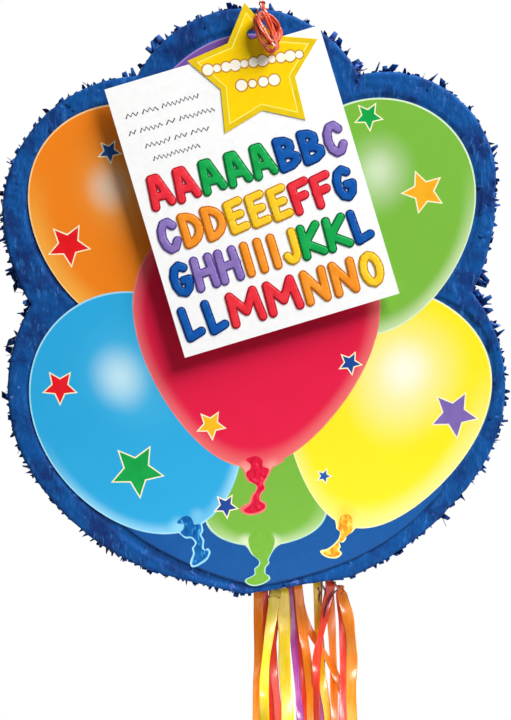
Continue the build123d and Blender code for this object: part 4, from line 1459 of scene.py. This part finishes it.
BLADE_PITCH = 6.2
SHORTEST_BLADE = 4.0
HINGE_BARE = 5.0  # the bare card along the flap's crease
FLAP_GAP = 1.5  # round the flap's other edges
CLEAR_OF_FLAP = 3.4  # half a blade's width


def carpet(bundle, rows, x_range, allowed, length_range, lowest):
    """Rows of fringe on the back, each hanging over the row below. allowed and lowest take X and Z."""
    for z in rows:
        xs = np.arange(x_range[0] + BLADE_PITCH / 2, x_range[1], BLADE_PITCH)
        xs = xs + RANDOM.uniform(-1.2, 1.2, len(xs))
        xs = xs[np.array([allowed(x, z) for x in xs], bool)]
        length = RANDOM.uniform(*length_range, len(xs))
        length = np.minimum(length, np.array([z - lowest(x, z) for x in xs]))
        long_enough = length >= SHORTEST_BLADE
        xs, length = xs[long_enough], length[long_enough]
        count = len(xs)
        if count == 0:
            continue
        roots = np.stack([xs, np.full(count, CARD_BACK + 0.9), np.full(count, z)], 1)
        bend = RANDOM.uniform(0.0, 0.5, count)
        wild = RANDOM.random(count) < 0.08
        bend[wild] = RANDOM.uniform(0.5, 1.0, wild.sum())
        blades(
            bundle, roots, (0.0, 0.0, -1.0), (0.0, 1.0, 0.0),
            RANDOM.uniform(5.0, 7.4, count), length, RANDOM.uniform(0.03, 0.09, count), bend,
            RANDOM.normal(0, 0.15, count), RANDOM.normal(0, 0.08, count), tissue_kinds(count, 0.14, 0.12),
        )  # fmt: skip


def back_rows():
    """The back's rows of fringe, round the filling flap."""
    flap_low, flap_high = box_mm("fill_flap")
    left, right = flap_low[0] - FLAP_GAP, flap_high[0] + FLAP_GAP
    bottom, top = flap_low[2] - 1.0, flap_high[2] + HINGE_BARE
    low, high = box_mm("back_fringe")
    bundle = Bundle()
    skin_back(bundle, (left, right, bottom, top))

    def over_flap(x):
        return left - CLEAR_OF_FLAP < x < right + CLEAR_OF_FLAP

    def allowed(x, z):
        return BODY_REACH.depth((x, z)) >= 3 and not (over_flap(x) and bottom < z < top + 3)

    def lowest(x, z):
        if over_flap(x) and z >= top:
            return top
        below = np.arange(z, z - 34, -1.0)
        past = [level for level in below if BODY_REACH.depth((x, level)) < -0.5]
        return past[0] if past else z - 40

    rows = np.arange(high[2] - 8, low[2] + 10, -21.5)
    carpet(bundle, rows, (low[0], high[0]), allowed, (23, 30), lowest)
    piece = bundle.piece("back_fringe_rows", TISSUES, "shell")
    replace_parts(piece, "back_fringe")


def flap_rows():
    """The filling flap's own rows of fringe."""
    low, high = box_mm("fill_flap")
    left, right, bottom, top = low[0], high[0], low[2], high[2] - HINGE_BARE
    bundle = Bundle()
    pad(bundle, (left, right), (bottom, top))
    rows = np.arange(top - 0.5, bottom + 6, -20.5)
    carpet(
        bundle, rows, (left, right), lambda x, z: left + 3 < x < right - 3, (21, 26), lambda x, z: bottom - 2
    )
    piece = bundle.piece("flap_fringe_rows", TISSUES, "flap")
    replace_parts(piece, "fill_flap_fringe")


def pad(bundle, xs, zs):
    """A crumpled sheet of tissue glued on the flap."""
    nx, nz = 32, 26
    x, z = np.meshgrid(np.linspace(*xs, nx), np.linspace(*zs, nz), indexing="ij")
    top = np.stack([x, np.full_like(x, CARD_BACK + 0.8), z], -1)
    top[1:-1, 1:-1, 1] += (crumple(top[1:-1, 1:-1], 8, 7) * 0.9 - 0.35).reshape(nx - 2, nz - 2)
    low = top.copy()
    low[..., 1] = CARD_BACK + GLUE
    bundle.add(*grid_slab(top, low))


def skin_back(bundle, hole):
    """The tissue glued on the back board, cut round the flap."""
    left, right, bottom, top = hole
    spacing = 5.0
    low, high = box_mm("back_fringe")
    xs = np.arange(low[0], high[0] + spacing, spacing)
    zs = np.arange(low[2], high[2] + spacing, spacing)
    border = inset(evenly(outer_loop("front_tissue"), 4.0), 0.8)
    opening = np.array([(left, bottom), (right, bottom), (right, top), (left, top)])
    grid = np.array([(x, z) for x in xs for z in zs])
    grid = grid[inside(grid, inset(border, 2.5)) & ~inside(grid, inset(opening, -2.0))]
    flat, triangles, middles = cut_plane([border, opening], grid)
    triangles = facing(flat, triangles[inside(middles, border) & ~inside(middles, opening)], -1)
    face = np.insert(flat, 1, CARD_BACK + 0.7, axis=1)
    face[:, 1] += crumple(face, 9, 8) * 0.9 - 0.3
    behind = np.insert(flat, 1, CARD_BACK + GLUE, axis=1)
    faces, _ = slab_faces(triangles, len(flat))
    bundle.add(np.vstack([face, behind]), faces)


def door_fringe():
    """The trap door's own rows, pressed flat where the ribbons' tape crosses them."""
    bundle = Bundle()
    nu, nv = 30, 20
    u = np.linspace(-DOOR_LENGTH / 2, DOOR_LENGTH / 2, nu)
    v = np.linspace(-30, 25, nv)
    grid_u, grid_v = np.meshgrid(u, v, indexing="ij")

    def lay(us, vs, height):
        flat = DOOR_FACE + us[..., None] * DOOR_TANGENT + height[..., None] * DOOR_DOWN
        return np.insert(flat, 1, vs, axis=-1)

    level = np.full_like(grid_u, 0.6)
    rise = crumple(lay(grid_u, grid_v, level), 7, 9).reshape(nu, nv) * 0.8 - 0.3
    bundle.add(*grid_slab(lay(grid_u, grid_v, level + rise), lay(grid_u, grid_v, np.full_like(level, GLUE))))
    for start, reach in ((24.5, 17.0), (6.0, 17.0), (-12.5, 19.0)):
        us = np.arange(-DOOR_LENGTH / 2 + 3.2, DOOR_LENGTH / 2 - 3, 6.1)
        count = len(us)
        us = us + RANDOM.uniform(-0.8, 0.8, count)
        roots = lay(us, np.full(count, start), np.full(count, 1.0))
        bend = RANDOM.uniform(0.0, 0.02 if start > -12 else 0.1, count)
        blades(
            bundle, roots, (0.0, -1.0, 0.0), (DOOR_DOWN[0], 0, DOOR_DOWN[1]),
            RANDOM.uniform(4.8, 6.6, count), reach + RANDOM.uniform(-1, 2, count), 0.03, bend,
            RANDOM.normal(0, 0.03, count), RANDOM.normal(0, 0.05, count), tissue_kinds(count),
        )  # fmt: skip
    piece = bundle.piece("door_fringe_rows", TISSUES, "door")
    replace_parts(piece, "trap_door_fringe")


front_band()
for row in range(ROWS):
    side_row(row)
back_rows()
flap_rows()
door_fringe()


# ---- CAD nodes that stay in view ----
def carry(node, material):
    """Gives a CAD node that stays in view its material."""
    slots = NODES[node].data.materials
    if len(slots) == 0:
        slots.append(material)
    for index in range(len(slots)):
        slots[index] = material


CARD = card_material()
CARD_NODES = ["front_board", "back_board", "anchor_plate", "fill_flap", "trap_door"]
for node in NODES:
    if node.startswith("side_wall") or node in CARD_NODES:
        carry(node, CARD)
carry("sticker_sheet", paper_material())
carry("hanger_loop", plastic("loop_cord", (206, 96, 58), (246, 170, 130), 0.1, 0.25, 0.3))
carry("lead_ring", plastic("ring_cord", (186, 70, 44), (240, 150, 118), 0.1, 0.2, 0.3))
carry("ribbon_tape", tape_material())

# ---- light, floor and background ----
# Lengths in this section are metres, and powers are watts.
FLOOR = -1.5
FLOOR_HALF = 1.5
KEY_AIM = Vector((-0.01, -0.05, -0.27))
KEY_DIRECTION = Vector((0.55, -0.385, 0.74)).normalized()
KEY_DISTANCE = 4.0
KEY_SIZE = 2.3
KEY_POWER = 340.0
BACK_FILL_DIRECTION = Vector((-0.4, 0.85, 0.35)).normalized()
BACK_FILL_DISTANCE = 4.5
BACK_FILL_SIZE = 2.5
BACK_FILL_POWER = 190.0
RIBBON_LIGHT_AT = Vector((0.25, -1.6, -1.0))
RIBBON_LIGHT_AIM = Vector((0.04, 0, -0.87))
RIBBON_LIGHT_ANGLE = 25.0
RIBBON_LIGHT_POWER = 72.0
FILL = 0.1  # the surroundings' light, though the camera sees them white


def lamp(name, kind, place, aim, power):
    light = bpy.data.lights.new(name, kind)
    light.energy = power
    holder = bpy.data.objects.new(name, light)
    SCENE.collection.objects.link(holder)
    holder.location = place
    holder.rotation_euler = (aim - place).to_track_quat("-Z", "Y").to_euler()
    return light


def soft_lamp(name, direction, distance, size, power):
    light = lamp(name, "AREA", KEY_AIM + direction * distance, KEY_AIM, power)
    light.shape = "DISK"
    light.size = size


soft_lamp("key", KEY_DIRECTION, KEY_DISTANCE, KEY_SIZE, KEY_POWER)
soft_lamp("back_fill", BACK_FILL_DIRECTION, BACK_FILL_DISTANCE, BACK_FILL_SIZE, BACK_FILL_POWER)
ribbon_light = lamp("ribbon_spot", "SPOT", RIBBON_LIGHT_AT, RIBBON_LIGHT_AIM, RIBBON_LIGHT_POWER)
ribbon_light.spot_size = math.radians(RIBBON_LIGHT_ANGLE)
ribbon_light.spot_blend = 0.3
ribbon_light.shadow_soft_size = 0.25

world = bpy.data.worlds.new("studio")
SCENE.world = world
world.use_nodes = True
sky = world.node_tree
backdrop = sky.nodes["Background"]
seen = sky.nodes.new("ShaderNodeLightPath")
level = sky.nodes.new("ShaderNodeMapRange")
sky.links.new(seen.outputs["Is Camera Ray"], level.inputs["Value"])
level.inputs["To Min"].default_value = FILL
level.inputs["To Max"].default_value = 1.0
backdrop.inputs["Color"].default_value = (1, 1, 1, 1)
sky.links.new(level.outputs[0], backdrop.inputs["Strength"])

floor_corners = [(x * FLOOR_HALF, y * FLOOR_HALF, FLOOR) for x, y in ((-1, -1), (1, -1), (1, 1), (-1, 1))]
floor_mesh = bpy.data.meshes.new("floor")
floor_mesh.from_pydata(floor_corners, [], [(0, 1, 2, 3)])
floor = bpy.data.objects.new("floor", floor_mesh)
SCENE.collection.objects.link(floor)
pale = Recipe("floor_paper", Roughness=0.8)
pale.colour(pale.mix(pale.fade(pale.noise(8, 3), 0.3, 0.7), rgb(224, 224, 224), rgb(226, 226, 225)))
floor_mesh.materials.append(pale.material)
